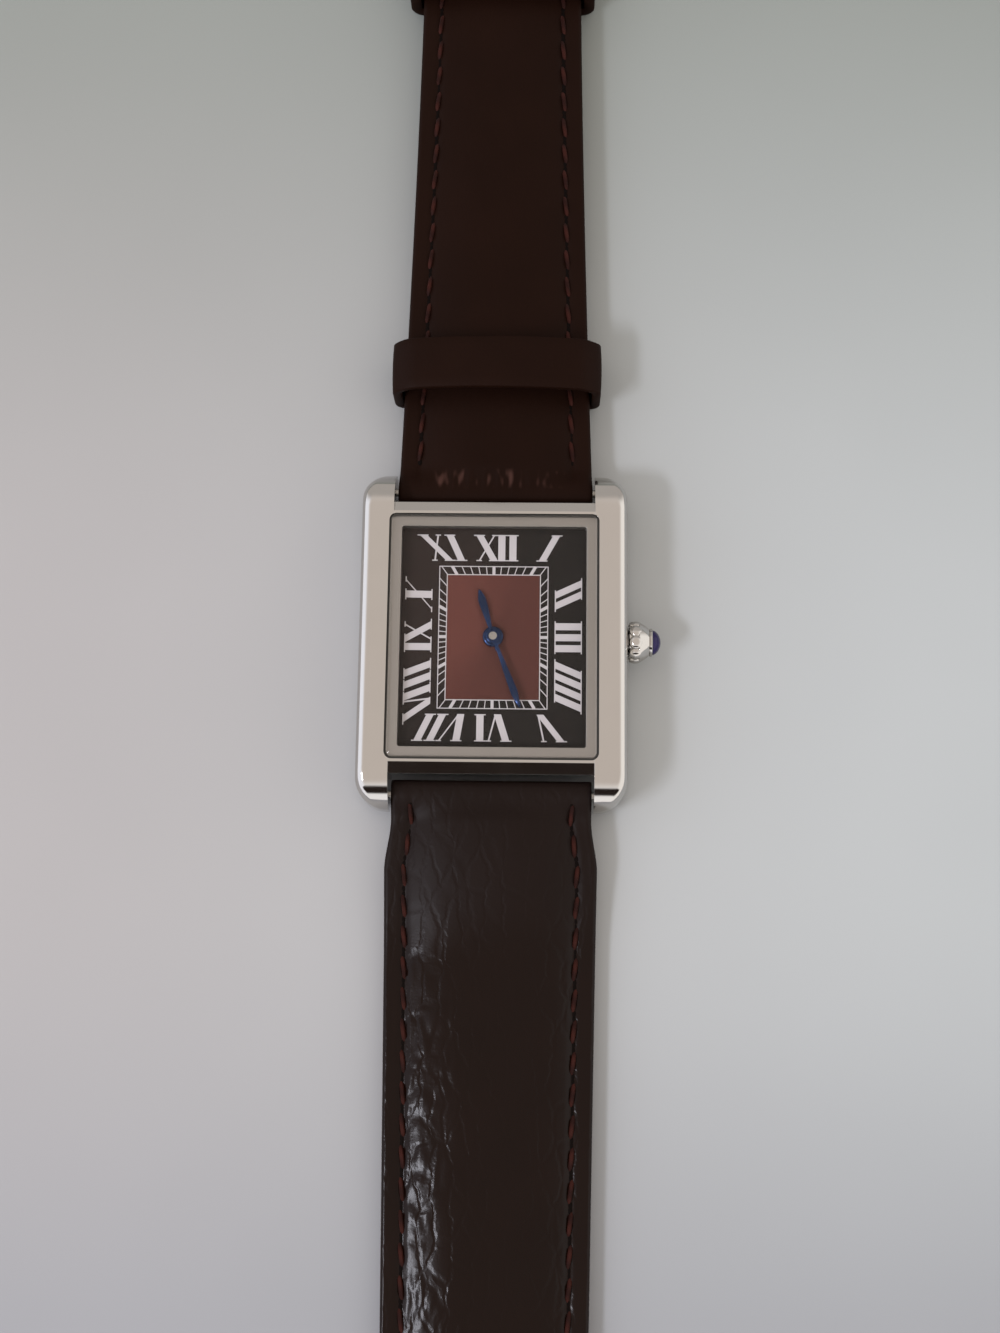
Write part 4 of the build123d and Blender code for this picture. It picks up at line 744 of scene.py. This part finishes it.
def strap_upper(reach_to, width_at, floor_at, crown_at, matt):
    """The upper leather of a strap half as one closed skin: it wraps the bar, then settles on the lining."""
    bm = bmesh.new()
    roll = 0.5
    tops = int(18 / GRAIN_ACROSS)
    count = int((reach_to - BAR_REACH) / GRAIN_STEP)
    reaches = [BAR_REACH - WRAP_REACH * cos(radians(90 * step / 9)) for step in range(9)]
    reaches += [BAR_REACH + (reach_to - BAR_REACH) * step / count for step in range(count + 1)]

    def section(reach):
        half = max(width_at(reach) / 2, 0.05)
        wrap, settled = at_bar(reach)
        under = smooth((reach - BAR_REACH) / 1.3)
        low = (BAR_HEIGHT - wrap) * (1 - under) + (floor_at(reach) + LINING + GLUE) * under
        rim = rim_height(reach, floor_at(reach))
        edge = min(roll, half * 0.8, (rim - low) * 0.45)
        crown = crown_at(reach)
        points = [(-half + 0.24 * edge, low)]
        points += arc((-half + edge, rim - edge), edge, 180, 90, 6)
        flat = half - edge
        for step in range(1, tops):
            x = -flat + 2 * flat * step / tops
            folds = case_folds(x, reach) if matt and reach < 19 else 0
            points.append((x, rim + strap_relief(x, reach, half, crown, matt) * settled + folds))
        points += arc((half - edge, rim - edge), edge, 90, 0, 6)
        points.append((half - 0.24 * edge, low))
        points += [(half * (1 - step / 4), low) for step in range(1, 8)]
        points.append(points[0])
        return points

    sections = [section(reach) for reach in reaches]
    columns = len(sections[0]) - 1
    wrapped_grid(bm, columns, len(reaches) - 1,
                 lambda column, row: (sections[row][column][0], reaches[row], sections[row][column][1]))
    close_ends(bm)
    return bm


def bar_bore(bm):
    """A round rod across the strap, to be cut out of the leather that wraps the case's bar."""
    place = Matrix.Translation((0, BAR_REACH, BAR_HEIGHT)) @ Matrix.Rotation(pi / 2, 4, "Y")
    bmesh.ops.create_cone(bm, cap_ends=True, segments=32, radius1=BAR_BORE, radius2=BAR_BORE, depth=24,
                          matrix=place)


def strap_lining(reach_to, width_at, floor_at, spacing):
    """The lining under a strap half, a little narrower than the upper leather."""
    bm = bmesh.new()
    count = int((reach_to - LINING_START) / spacing)

    def place(column, row):
        reach = LINING_START + (reach_to - LINING_START) * row / count
        half = max(width_at(reach) / 2 - LINING_INSET, 0.05)
        low = floor_at(reach)
        high = low + LINING + GLUE / 2
        under, over = 0.15, 0.1
        ring = [(-half, high - over), (-half, low + under), (-half + under, low), (-half / 2, low), (0, low),
                (half / 2, low), (half - under, low), (half, low + under), (half, high - over),
                (half - over, high), (0, high), (-half + over, high), (-half, high - over)]
        return ring[column][0], reach, ring[column][1]

    wrapped_grid(bm, 12, count, place)
    close_ends(bm)
    return bm


def leather_loop(bm, x_from, x_to):
    """A loop of leather round the buckle's bar, with softened ends."""
    soft = 0.18
    outline = [(x_from, LOOP_INNER + soft), (x_from, LOOP_OUTER - soft), (x_from + soft, LOOP_OUTER),
               (x_to - soft, LOOP_OUTER), (x_to, LOOP_OUTER - soft), (x_to, LOOP_INNER + soft),
               (x_to - soft, LOOP_INNER), (x_from + soft, LOOP_INNER)]
    turned(bm, outline, (0, BUCKLE_REACH, BUCKLE_HEIGHT), 40, ring=True)


def tongue_slot():
    """A block with the plan of the slot in which the tongue turns, to be cut out of leather."""
    slot = bmesh.new()
    run, tall = 10, 8
    middle = (0, BUCKLE_REACH - SLOT_DEPTH + run / 2, 2.5)
    bmesh.ops.create_cube(slot, size=1.0, matrix=Matrix.Translation(middle)
                          @ Matrix.Diagonal((SLOT_WIDTH, run, tall, 1)))
    return slot


def flip_half(bm):
    """Turns a shape modelled towards +Y to the lower half of the watch."""
    bmesh.ops.rotate(bm, cent=(0, 0, 0), matrix=Matrix.Rotation(pi, 3, "Z"), verts=bm.verts)


def cut(bm, cutter):
    """What is left of a shape when another is cut out of it. Both are in millimetres."""
    objects = []
    for shape in (bm, cutter):
        bmesh.ops.recalc_face_normals(shape, faces=shape.faces)
        mesh = bpy.data.meshes.new("cutting")
        shape.to_mesh(mesh)
        shape.free()
        made = bpy.data.objects.new("cutting", mesh)
        bpy.context.scene.collection.objects.link(made)
        objects.append(made)
    body, tool = objects
    step = body.modifiers.new("cut", "BOOLEAN")
    step.object = tool
    step.operation = "DIFFERENCE"
    step.solver = "EXACT"
    mesh = bpy.data.meshes.new_from_object(body.evaluated_get(bpy.context.evaluated_depsgraph_get()))
    result = bmesh.new()
    result.from_mesh(mesh)
    for made in objects:
        bpy.data.objects.remove(made)
    return result


def stitch(bm, middle, direction):
    """One stitch: a thread that comes up out of one hole, arches and goes down into the next."""
    rise, sink, thread, span = 0.14, 0.12, 0.44, 2.3
    steps, sides = 6, 6
    across = Vector((-direction.y, direction.x, 0))

    def place(column, row):
        share = row / steps * 2 - 1
        angle = 2 * pi * column / sides
        thick = thread / 2 * (1 - 0.35 * share ** 4)
        height = rise * (1 - share ** 4) - sink * share ** 4
        centre = middle + direction * (share * span / 2) + Vector((0, 0, height))
        return centre + across * (thick * cos(angle)) + Vector((0, 0, thick * 0.8 * sin(angle)))

    wrapped_grid(bm, sides, steps, place)


def hole_shade_spot(bm, place, direction):
    """A small dark dimple of painted shade where the thread goes through."""
    matrix = Matrix.Translation(place) @ Matrix.Rotation(atan2(direction.y, direction.x), 4, "Z")
    matrix @= Matrix.Diagonal((0.34, 0.22, 0.05, 1))
    bmesh.ops.create_uvsphere(bm, u_segments=10, v_segments=6, radius=1.0, matrix=matrix)


def stitch_line(width_at, floor_at, start, end, round_tip):
    """Places and directions of the stitches along both edges of a strap half."""
    places = []
    count = int((end - start) / STITCH_PITCH)
    for step in range(count):
        reach = start + (step + 0.5) * (end - start) / count
        near, far = reach - STITCH_HALF, reach + STITCH_HALF
        for side in (-1, 1):
            a, b = (Vector((side * (width_at(at) / 2 - STITCH_MARGIN), at, rim_height(at, floor_at(at))))
                    for at in (near, far))
            places.append(((a + b) / 2, (b - a).normalized()))
    if round_tip:
        radius_x = width_at(end) / 2 - STITCH_MARGIN
        radius_y = LONG_TIP - end - STITCH_MARGIN
        height = rim_height(end, floor_at(end))
        for step in range(TIP_STITCHES):
            angle = pi * (step + 0.5) / TIP_STITCHES
            spot = Vector((radius_x * cos(angle), end + radius_y * sin(angle), height))
            places.append((spot, Vector((-radius_x * sin(angle), radius_y * cos(angle), 0)).normalized()))
    return places


def sew(name, body, replaced, places, half_turn):
    """The thread of one strap half, and painted shade in the holes that it goes through."""
    thread, holes = bmesh.new(), bmesh.new()
    for middle, direction in places:
        base = middle - Vector((0, 0, 0.1))
        lean = direction + 0.12 * Vector((-direction.y, direction.x, 0)) * (1 if middle.x > 0 else -1)
        stitch(thread, base, lean.normalized())
        for end in (-1, 1):
            hole_shade_spot(holes, middle + direction * (end * 1.25) - Vector((0, 0, 0.13)), direction)
    for bm in (thread, holes):
        close_ends(bm)
        if half_turn:
            flip_half(bm)
    make_piece(name, thread, body, waxed_thread, (replaced,))
    # The holes' dark spots are painted shade.
    make_piece(name + "_holes", holes, body, painted_hole_shade)


def keeper_ring(width, height, wall, reach, span, top_corner, low_corner, droop):
    """A keeper: a leather band bent into a ring that is well rounded above and crowned across its top."""
    bm = bmesh.new()
    half_w, half_h = width / 2, height / 2
    middle = half_h
    quarters = ((1, 1), (-1, 1), (-1, -1), (1, -1))

    def corner_of(quarter):
        """Radii and centres of the outer and the inner corner of one quarter of the ring."""
        sx, sz = quarters[quarter % 4]
        outer = top_corner if sz > 0 else low_corner
        inner = max(outer - wall, 0.2)
        return (outer, inner, (sx * (half_w - outer), sz * (half_h - outer)),
                (sx * (half_w - wall - inner), sz * (half_h - wall - inner)))

    path = []
    steps = 8
    for quarter in range(4):
        outer, inner, centre, inner_centre = corner_of(quarter)
        for step in range(steps + 1):
            angle = radians(90 * quarter + 90 * step / steps)
            path.append((centre[0] + outer * cos(angle), centre[1] + outer * sin(angle),
                         inner_centre[0] + inner * cos(angle), inner_centre[1] + inner * sin(angle)))
        start = path[-1]
        outer, inner, centre, inner_centre = corner_of(quarter + 1)
        turn = radians(90 * (quarter + 1))
        end = (centre[0] + outer * cos(turn), centre[1] + outer * sin(turn),
               inner_centre[0] + inner * cos(turn), inner_centre[1] + inner * sin(turn))
        runs = 14 if quarter in (0, 2) else 3
        path += [tuple(a + (b - a) * step / runs for a, b in zip(start, end)) for step in range(1, runs)]
    path = [(ox, oz - droop * (ox / half_w) ** 2 * smooth(oz / half_h),
             ix, iz - droop * (ox / half_w) ** 2 * smooth(iz / half_h)) for ox, oz, ix, iz in path]
    path.append(path[0])
    # Across the band: share of the wall from inside (0) to outside (1), and place along the strap.
    soft, bulge_rise, sway_size = 0.16, 0.09, 0.06
    half = span / 2
    front = [(0.0, -half + soft), (0.25, -half), (0.75, -half), (0.93, -half + soft * 0.4),
             (1.0, -half + soft), (1.0, -half * 0.6), (1.0, -half * 0.2)]
    back = [(share, -along) for share, along in reversed(front)]
    band = [*front, *back, (0.0, 0.0), front[0]]

    def place(column, row):
        ox, oz, ix, iz = path[column]
        share, along = band[row]
        bulge = bulge_rise * (1 - (along / half) ** 2) * share
        sway = sway_size * noise.noise(Vector((ox * 0.3, along * 0.4, oz)))
        x = ix + (ox - ix) * share
        z = iz + (oz - iz) * share
        grow = 1 + bulge / max(hypot(x, z), 1)
        x, z = x * grow, max(middle + z * grow, 0.0)
        return x, reach + along + sway * share, z

    wrapped_grid(bm, len(path) - 1, len(band) - 1, place)
    close_ends(bm)
    return bm


# Hands
def blued_hand(height, reach, width, widest_share, hub, bore, angle):
    """A hand with a ridge along it and a domed hub, as it points at this angle clockwise from 12."""
    bm = bmesh.new()
    rows, neck, edge, ridge, dome_rise = 32, 0.14, 0.06, 0.09, 0.2

    def half_width(y):
        share = max(y, 0) / reach
        if share < widest_share:
            return neck + (width / 2 - neck) * smooth(share / widest_share)
        return max(width / 2 * max(1 - (share - widest_share) / (1 - widest_share), 0) ** 0.7, 0.01)

    def place(column, row):
        y = -HAND_TAIL + (reach + HAND_TAIL) * row / rows
        return half_width(y) * (column - 2) / 2, y, height

    wrapped_grid(bm, 4, rows, place)
    raised = bmesh.ops.extrude_face_region(bm, geom=bm.faces[:])["geom"]
    for vert in (item for item in raised if isinstance(item, bmesh.types.BMVert)):
        side = abs(vert.co.x) / max(half_width(vert.co.y), 0.01)
        vert.co.z += edge + ridge * (1 - side)
    dome = [(edge + dome_rise * sqrt(1 - share * share), bore + (hub - bore) * share)
            for share in (0.0, 0.25, 0.5, 0.7, 0.85, 0.95, 1.0)]
    turned(bm, [(0.0, bore), *dome, (0.0, hub)], (0, 0, height), 40, upright=True, ring=True)
    bmesh.ops.rotate(bm, cent=(0, 0, 0), matrix=Matrix.Rotation(radians(-angle), 3, "Z"), verts=bm.verts)
    return bm


# Operators
class WATCH_OT_case(bpy.types.Operator):
    """Polishes the case middle, brushes the back and dresses its screws and the ring under the crystal"""
    bl_idname = "watch.make_case"
    bl_label = "Case"

    def execute(self, context):
        edge = mm(context.scene.watch_case.edge)
        dressed_copy("case_middle_polished", "case_middle", "watch_case", polished_steel,
                     edge)
        dressed_copy("case_back_brushed", "case_back", "watch_case", satin_steel, 0.06)
        dressed_copy("case_screws", "case_back_screws", "watch_case", turned_steel, 0.03)
        dressed_copy("satin_ring", "dial_flange", "watch_case", blasted_steel, 0.1)
        return {"FINISHED"}


class WATCH_OT_crystal(bpy.types.Operator):
    """Fits the flat crystal and its gasket"""
    bl_idname = "watch.make_crystal"
    bl_label = "Crystal"

    def execute(self, context):
        bm = bmesh.new()
        middle = (CRYSTAL_BOTTOM + CRYSTAL_TOP) / 2
        bmesh.ops.create_cube(bm, size=1.0, matrix=Matrix.Translation((0, 0, middle)) @ Matrix.Diagonal(
            (CRYSTAL_WIDTH, CRYSTAL_LENGTH, CRYSTAL_TOP - CRYSTAL_BOTTOM, 1)))
        rounded(bm, upright_edges(bm), 0.5, 5)
        rim = [edge for edge in bm.edges if all(vert.co.z > CRYSTAL_TOP - 0.01 for vert in edge.verts)]
        rounded(bm, rim, 0.2, 2)
        make_piece("flat_crystal", bm, "watch_case", mineral_glass, ("crystal",), sharp=15)
        dressed_copy("crystal_seal", "crystal_gasket", "watch_case", black_rubber, 0.04)
        return {"FINISHED"}


class WATCH_OT_hands(bpy.types.Operator):
    """Makes the two blued hands with their hubs and the pale post in the middle"""
    bl_idname = "watch.make_hands"
    bl_label = "Hands"

    def execute(self, context):
        sizes = context.scene.watch_dial
        hour = blued_hand(HOUR_HAND_HEIGHT, mm(sizes.hour_length), width=0.82, widest_share=0.78,
                          hub=mm(sizes.hour_hub), bore=0.7, angle=HOUR_ANGLE)
        make_piece("blued_hour_hand", hour, "hour_hand_arbor", blued_steel, ("hour_hand",),
                   sharp=25)
        minute = blued_hand(MINUTE_HAND_HEIGHT, mm(sizes.minute_length), width=0.72, widest_share=0.8,
                            hub=mm(sizes.minute_hub), bore=0.41, angle=MINUTE_ANGLE)
        make_piece("blued_minute_hand", minute, "minute_hand_arbor", blued_steel,
                   ("minute_hand",), sharp=25)
        post = bmesh.new()
        outline = [(0.0, 0.0), (0.0, 0.36), (0.2, 0.36), (0.27, 0.3), (0.27, 0.14), (0.22, 0.1), (0.22, 0.0)]
        turned(post, outline, (0, 0, MINUTE_HAND_HEIGHT - 0.02), 32, upright=True)
        make_piece("centre_post", post, "minute_hand_arbor", turned_steel)
        return {"FINISHED"}


class WATCH_OT_crown(bpy.types.Operator):
    """Makes the lobed crown with its domed stone"""
    bl_idname = "watch.make_crown"
    bl_label = "Crown"

    def execute(self, context):
        sizes = context.scene.watch_crown
        centre = (0, 0, STEM_HEIGHT)
        inner, bezel = CROWN_START, CROWN_END - 0.25
        socket, recess, cone, lobe_middle, stone_radius, stone_rise = 0.47, 1.3, 2.04, 1.76, 1.28, 0.95
        bm = bmesh.new()
        # From the recess that holds the gasket, out over the grip and the cone to the bezel round the stone.
        body = [(inner + 1.65, 0.0), (inner + 1.65, socket), (inner + 1.3, socket), (inner + 1.3, recess),
                (inner, recess), (inner, 1.5), (inner + 0.1, 1.76), (inner + 0.9, 1.8), (inner + 1.05, 1.98)]
        body += [(inner + 1.12 + 0.95 * share, cone - 0.6 * share ** 1.25)
                 for share in (0.0, 0.15, 0.3, 0.45, 0.6, 0.75, 0.9)]
        body += [(bezel - 0.2, 1.36), (bezel - 0.14, 1.43), (bezel + 0.02, 1.45), (bezel + 0.08, 1.39),
                 (bezel + 0.05, 1.3), (bezel - 0.3, stone_radius), (bezel - 0.3, 0.0)]
        turned(bm, body, centre, 72)
        for step in range(sizes.lobes):
            angle = 2 * pi * step / sizes.lobes + radians(28.6)
            spot = Vector((inner + 0.72, lobe_middle * sin(angle), STEM_HEIGHT + lobe_middle * cos(angle)))
            lobe = Matrix.Translation(spot) @ Matrix.Rotation(-angle, 4, "X")
            lobe @= Matrix.Diagonal((0.7, mm(sizes.lobe_width), 0.4, 1))
            bmesh.ops.create_uvsphere(bm, u_segments=18, v_segments=12, radius=1.0, matrix=lobe)
        make_piece("lobed_crown", bm, "crown_and_stem", polished_steel, ("crown",))
        stone = bmesh.new()
        dome = [(bezel - 0.28, 0.0), (bezel - 0.28, 1.24), (bezel - 0.05, stone_radius)]
        dome += [(bezel + stone_rise * sin(radians(turn)), stone_radius * cos(radians(turn)))
                 for turn in range(6, 90, 7)]
        turned(stone, [*dome, (bezel + stone_rise, 0.0)], centre, 56)
        make_piece("domed_stone", stone, "crown_and_stem", blue_stone, ("crown_cabochon",))
        return {"FINISHED"}


class WATCH_OT_straps(bpy.types.Operator):
    """Makes the two padded strap halves with their linings and the loops round the buckle's bar"""
    bl_idname = "watch.make_straps"
    bl_label = "Strap halves"

    def execute(self, context):
        # Short half, with its two lugs beside the tongue and its loops at the buckle.
        upper = strap_upper(BUCKLE_REACH - 0.6, short_width, short_floor, short_crown, matt=True)
        slot = tongue_slot()
        rounded(slot, upright_edges(slot), SLOT_CORNER, 4)
        bar_bore(slot)
        upper = cut(upper, slot)
        end_half = mm(context.scene.watch_strap.buckle_width) / 2 - 0.1
        leather_loop(upper, -end_half, -LOOP_START)
        leather_loop(upper, LOOP_START, end_half)
        piece = make_piece("short_strap_calf", upper, "upper_strap", matt_leather,
                           ("strap_short_upper", "strap_short_filler"), sharp=50)
        lining = cut(strap_lining(BUCKLE_REACH - 1.25, short_width, short_floor, 2.0), tongue_slot())
        make_piece("short_strap_lining", lining, "upper_strap", lining_leather,
                   ("strap_short_lining",))

        # Long half, with its holes and rounded tip.
        shapes = []
        for shape in (strap_upper(LONG_TIP - 0.02, long_width, long_floor, long_crown, matt=False),
                      strap_lining(LONG_TIP - 0.12, long_width, long_floor, 1.0)):
            punch = bmesh.new()
            bar_bore(punch)
            for hole in range(HOLE_COUNT):
                place = Matrix.Translation((0, LONG_TIP - FIRST_HOLE - HOLE_PITCH * hole, 2))
                bmesh.ops.create_cone(punch, cap_ends=True, segments=28, radius1=HOLE_RADIUS,
                                      radius2=HOLE_RADIUS, depth=9, matrix=place)
            shapes.append(cut(shape, punch))
            flip_half(shapes[-1])
        upper, lining = shapes
        piece = make_piece("long_strap_calf", upper, "lower_strap", glazed_leather,
                           ("strap_long_upper", "strap_long_filler"), sharp=50)
        make_piece("long_strap_lining", lining, "lower_strap", lining_leather,
                   ("strap_long_lining",))
        return {"FINISHED"}


class WATCH_OT_stitching(bpy.types.Operator):
    """Sews both strap halves along their edges"""
    bl_idname = "watch.sew_straps"
    bl_label = "Stitching"

    def execute(self, context):
        sew("short_strap_thread", "upper_strap", "stitching_short",
            stitch_line(short_width, short_floor, BAR_REACH + 3.0, BUCKLE_REACH - 3.0, False), False)
        sew("long_strap_thread", "lower_strap", "stitching_long",
            stitch_line(long_width, long_floor, BAR_REACH + 0.5, LONG_SHOULDER, True), True)
        return {"FINISHED"}


class WATCH_OT_keepers(bpy.types.Operator):
    """Bends the sliding keeper and the fixed keeper"""
    bl_idname = "watch.make_keepers"
    bl_label = "Keepers"

    def execute(self, context):
        sliding = keeper_ring(width=21.6, height=7.2, wall=0.9, reach=28.65, span=5.5, top_corner=2.6,
                              low_corner=1.2, droop=1.1)
        make_piece("sliding_keeper_calf", sliding, "loose_keeper", matt_leather,
                   ("sliding_keeper",), sharp=50)
        fixed = keeper_ring(width=20.2, height=6.15, wall=1.15, reach=74.65, span=5.5, top_corner=2.2,
                            low_corner=1.4, droop=0.6)
        make_piece("fixed_keeper_calf", fixed, "upper_strap", matt_leather,
                   ("fixed_keeper",), sharp=50)
        return {"FINISHED"}


class WATCH_OT_buckle(bpy.types.Operator):
    """Polishes the buckle frame and its tongue"""
    bl_idname = "watch.make_buckle"
    bl_label = "Buckle"

    def execute(self, context):
        dressed_copy("buckle_frame_polished", "buckle_frame", "buckle", polished_steel, 0.3)
        dressed_copy("buckle_tongue_polished", "buckle_tongue", "tongue", polished_steel,
                     0.15)
        return {"FINISHED"}


NODE_FINISHES = {
    black_rubber: ("case_back_gasket", "crown_gasket"),
    dial_lacquer: ("dial",),
    silver_print: ("hour_numerals", "minute_track"),
    turned_steel: ("bridge_screws", "cannon_pinion", "battery_clip", "winding_stem", "sliding_pinion",
                   "setting_lever", "crown_tube", "lug_bar_barrels", "lug_bar_springs", "upper_bar_tip_left",
                   "upper_bar_tip_right", "lower_bar_tip_left", "lower_bar_tip_right", "buckle_bar_barrel",
                   "buckle_bar_spring", "buckle_tip_left", "buckle_tip_right"),
    plated_brass: ("main_plate", "train_bridge"),
    brass: ("centre_wheel", "third_wheel", "minute_wheel", "hour_wheel"),
    movement_plastic: ("movement_holder", "intermediate_wheel"),
    magnet: ("rotor",),
    silicon_steel: ("stator", "coil_core"),
    copper_wire: ("coil_winding",),
    battery_steel: ("battery", "quartz_can"),
    board_green: ("circuit_board",),
    chip_black: ("chip",),
}


class WATCH_OT_movement(bpy.types.Operator):
    """Gives the dial, the movement and the small steel parts their finishes"""
    bl_idname = "watch.finish_movement"
    bl_label = "Dial and movement"

    def execute(self, context):
        for maker, nodes in NODE_FINISHES.items():
            for node in nodes:
                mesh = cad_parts[node].data
                mesh.materials.clear()
                mesh.materials.append(finish(maker))
        return {"FINISHED"}


class WATCH_OT_stage(bpy.types.Operator):
    """Sets the table, the light and the camera"""
    bl_idname = "watch.set_stage"
    bl_label = "Stage"

    def execute(self, context):
        scene = context.scene
        bm = bmesh.new()
        bmesh.ops.create_grid(bm, x_segments=8, y_segments=8, size=1.5)
        mesh = bpy.data.meshes.new("table")
        bm.to_mesh(mesh)
        bm.free()
        table = bpy.data.objects.new("table", mesh)
        scene.collection.objects.link(table)
        mesh.materials.append(finish(table_top))

        # Light from overhead and from pale walls, cooler from the left. A dark panel stands low at the
        # 6 o'clock side and shows in the sloped end of the case.
        world = bpy.data.worlds.new("room")
        scene.world = world
        world.use_nodes = True
        tree = world.node_tree
        axes = add(tree, "SeparateXYZ", {"Vector": add(tree, "TexCoord", {}, "Generated")}).node.outputs
        room, panel = linear("#EEF0FA"), 1.0
        for axis, low, high, tone in (("X", -0.9, 0.5, linear("#F0ECE8")),
                                      ("Y", 0.4, 0.75, linear("#A5A09C")),
                                      ("Z", 0.55, 0.9, tuple(scene.watch_stage.sky))):
            share = add(tree, "MapRange", {"Value": axes[axis], "From Min": low, "From Max": high}, **EASED)
            room = add(tree, "Mix", {0: share, 6: room, 7: tone}, **COLOURS)
        for axis, low, high in (("Y", -0.7, -0.79), ("Z", 0.28, 0.4), ("X", -0.85, -0.6)):
            share = add(tree, "MapRange", {"Value": axes[axis], "From Min": low, "From Max": high}, **EASED)
            panel = add(tree, "Math", {0: panel, 1: share}, operation="MULTIPLY")
        shown = add(tree, "Mix", {0: panel, 6: room, 7: linear("#221B18")}, **COLOURS)
        fill(tree, tree.nodes["Background"], {"Color": shown, "Strength": 1.55})

        light = bpy.data.lights.new("window", "AREA")
        light.shape = "RECTANGLE"
        light.size, light.size_y = 0.12, 0.035
        light.energy = scene.watch_stage.lamp
        light.color = linear("#F2F4FF")[:3]
        window = bpy.data.objects.new("window", light)
        window.location = Vector((-236, -140, 285)) * MM
        lit_place = Vector((0, -20, 0)) * MM
        window.rotation_euler = (lit_place - window.location).to_track_quat("-Z", "Y").to_euler()
        scene.collection.objects.link(window)

        lens = bpy.data.cameras.new("camera")
        lens.lens = 48.6
        lens.clip_start = 0.01
        camera = bpy.data.objects.new("camera", lens)
        camera.location = Vector((4.55, -39.0, 181.8)) * MM
        camera.rotation_euler = (radians(11.53), radians(1.08), radians(0.76))
        scene.collection.objects.link(camera)
        scene.camera = camera
        scene.view_settings.view_transform = "Standard"
        return {"FINISHED"}


OPERATORS = (WATCH_OT_case, WATCH_OT_crystal, WATCH_OT_hands, WATCH_OT_crown, WATCH_OT_straps,
             WATCH_OT_stitching, WATCH_OT_keepers, WATCH_OT_buckle, WATCH_OT_movement, WATCH_OT_stage)


class WATCH_PT_panel(bpy.types.Panel):
    """Lists the watch's steps and their sizes and colours"""
    bl_idname = "WATCH_PT_panel"
    bl_label = "Wristwatch"
    bl_space_type = "VIEW_3D"
    bl_region_type = "UI"
    bl_category = "Watch"

    def draw(self, context):
        for name, group in SETTINGS.items():
            box = self.layout.box()
            for prop in group.__annotations__:
                box.prop(getattr(context.scene, name), prop)
        for operator in OPERATORS:
            self.layout.operator(operator.bl_idname)


CLASSES = (*SETTINGS.values(), *OPERATORS, WATCH_PT_panel)


def register():
    for item in CLASSES:
        bpy.utils.register_class(item)
    for name, group in SETTINGS.items():
        setattr(bpy.types.Scene, name, PointerProperty(type=group))


def unregister():
    for name in SETTINGS:
        delattr(bpy.types.Scene, name)
    for item in reversed(CLASSES):
        bpy.utils.unregister_class(item)


def main():
    register()
    bpy.ops.watch.make_case()
    bpy.ops.watch.make_crystal()
    bpy.ops.watch.make_hands()
    bpy.ops.watch.make_crown()
    bpy.ops.watch.make_straps()
    bpy.ops.watch.sew_straps()
    bpy.ops.watch.make_keepers()
    bpy.ops.watch.make_buckle()
    bpy.ops.watch.finish_movement()
    bpy.ops.watch.set_stage()


if __name__ == "__main__":
    main()
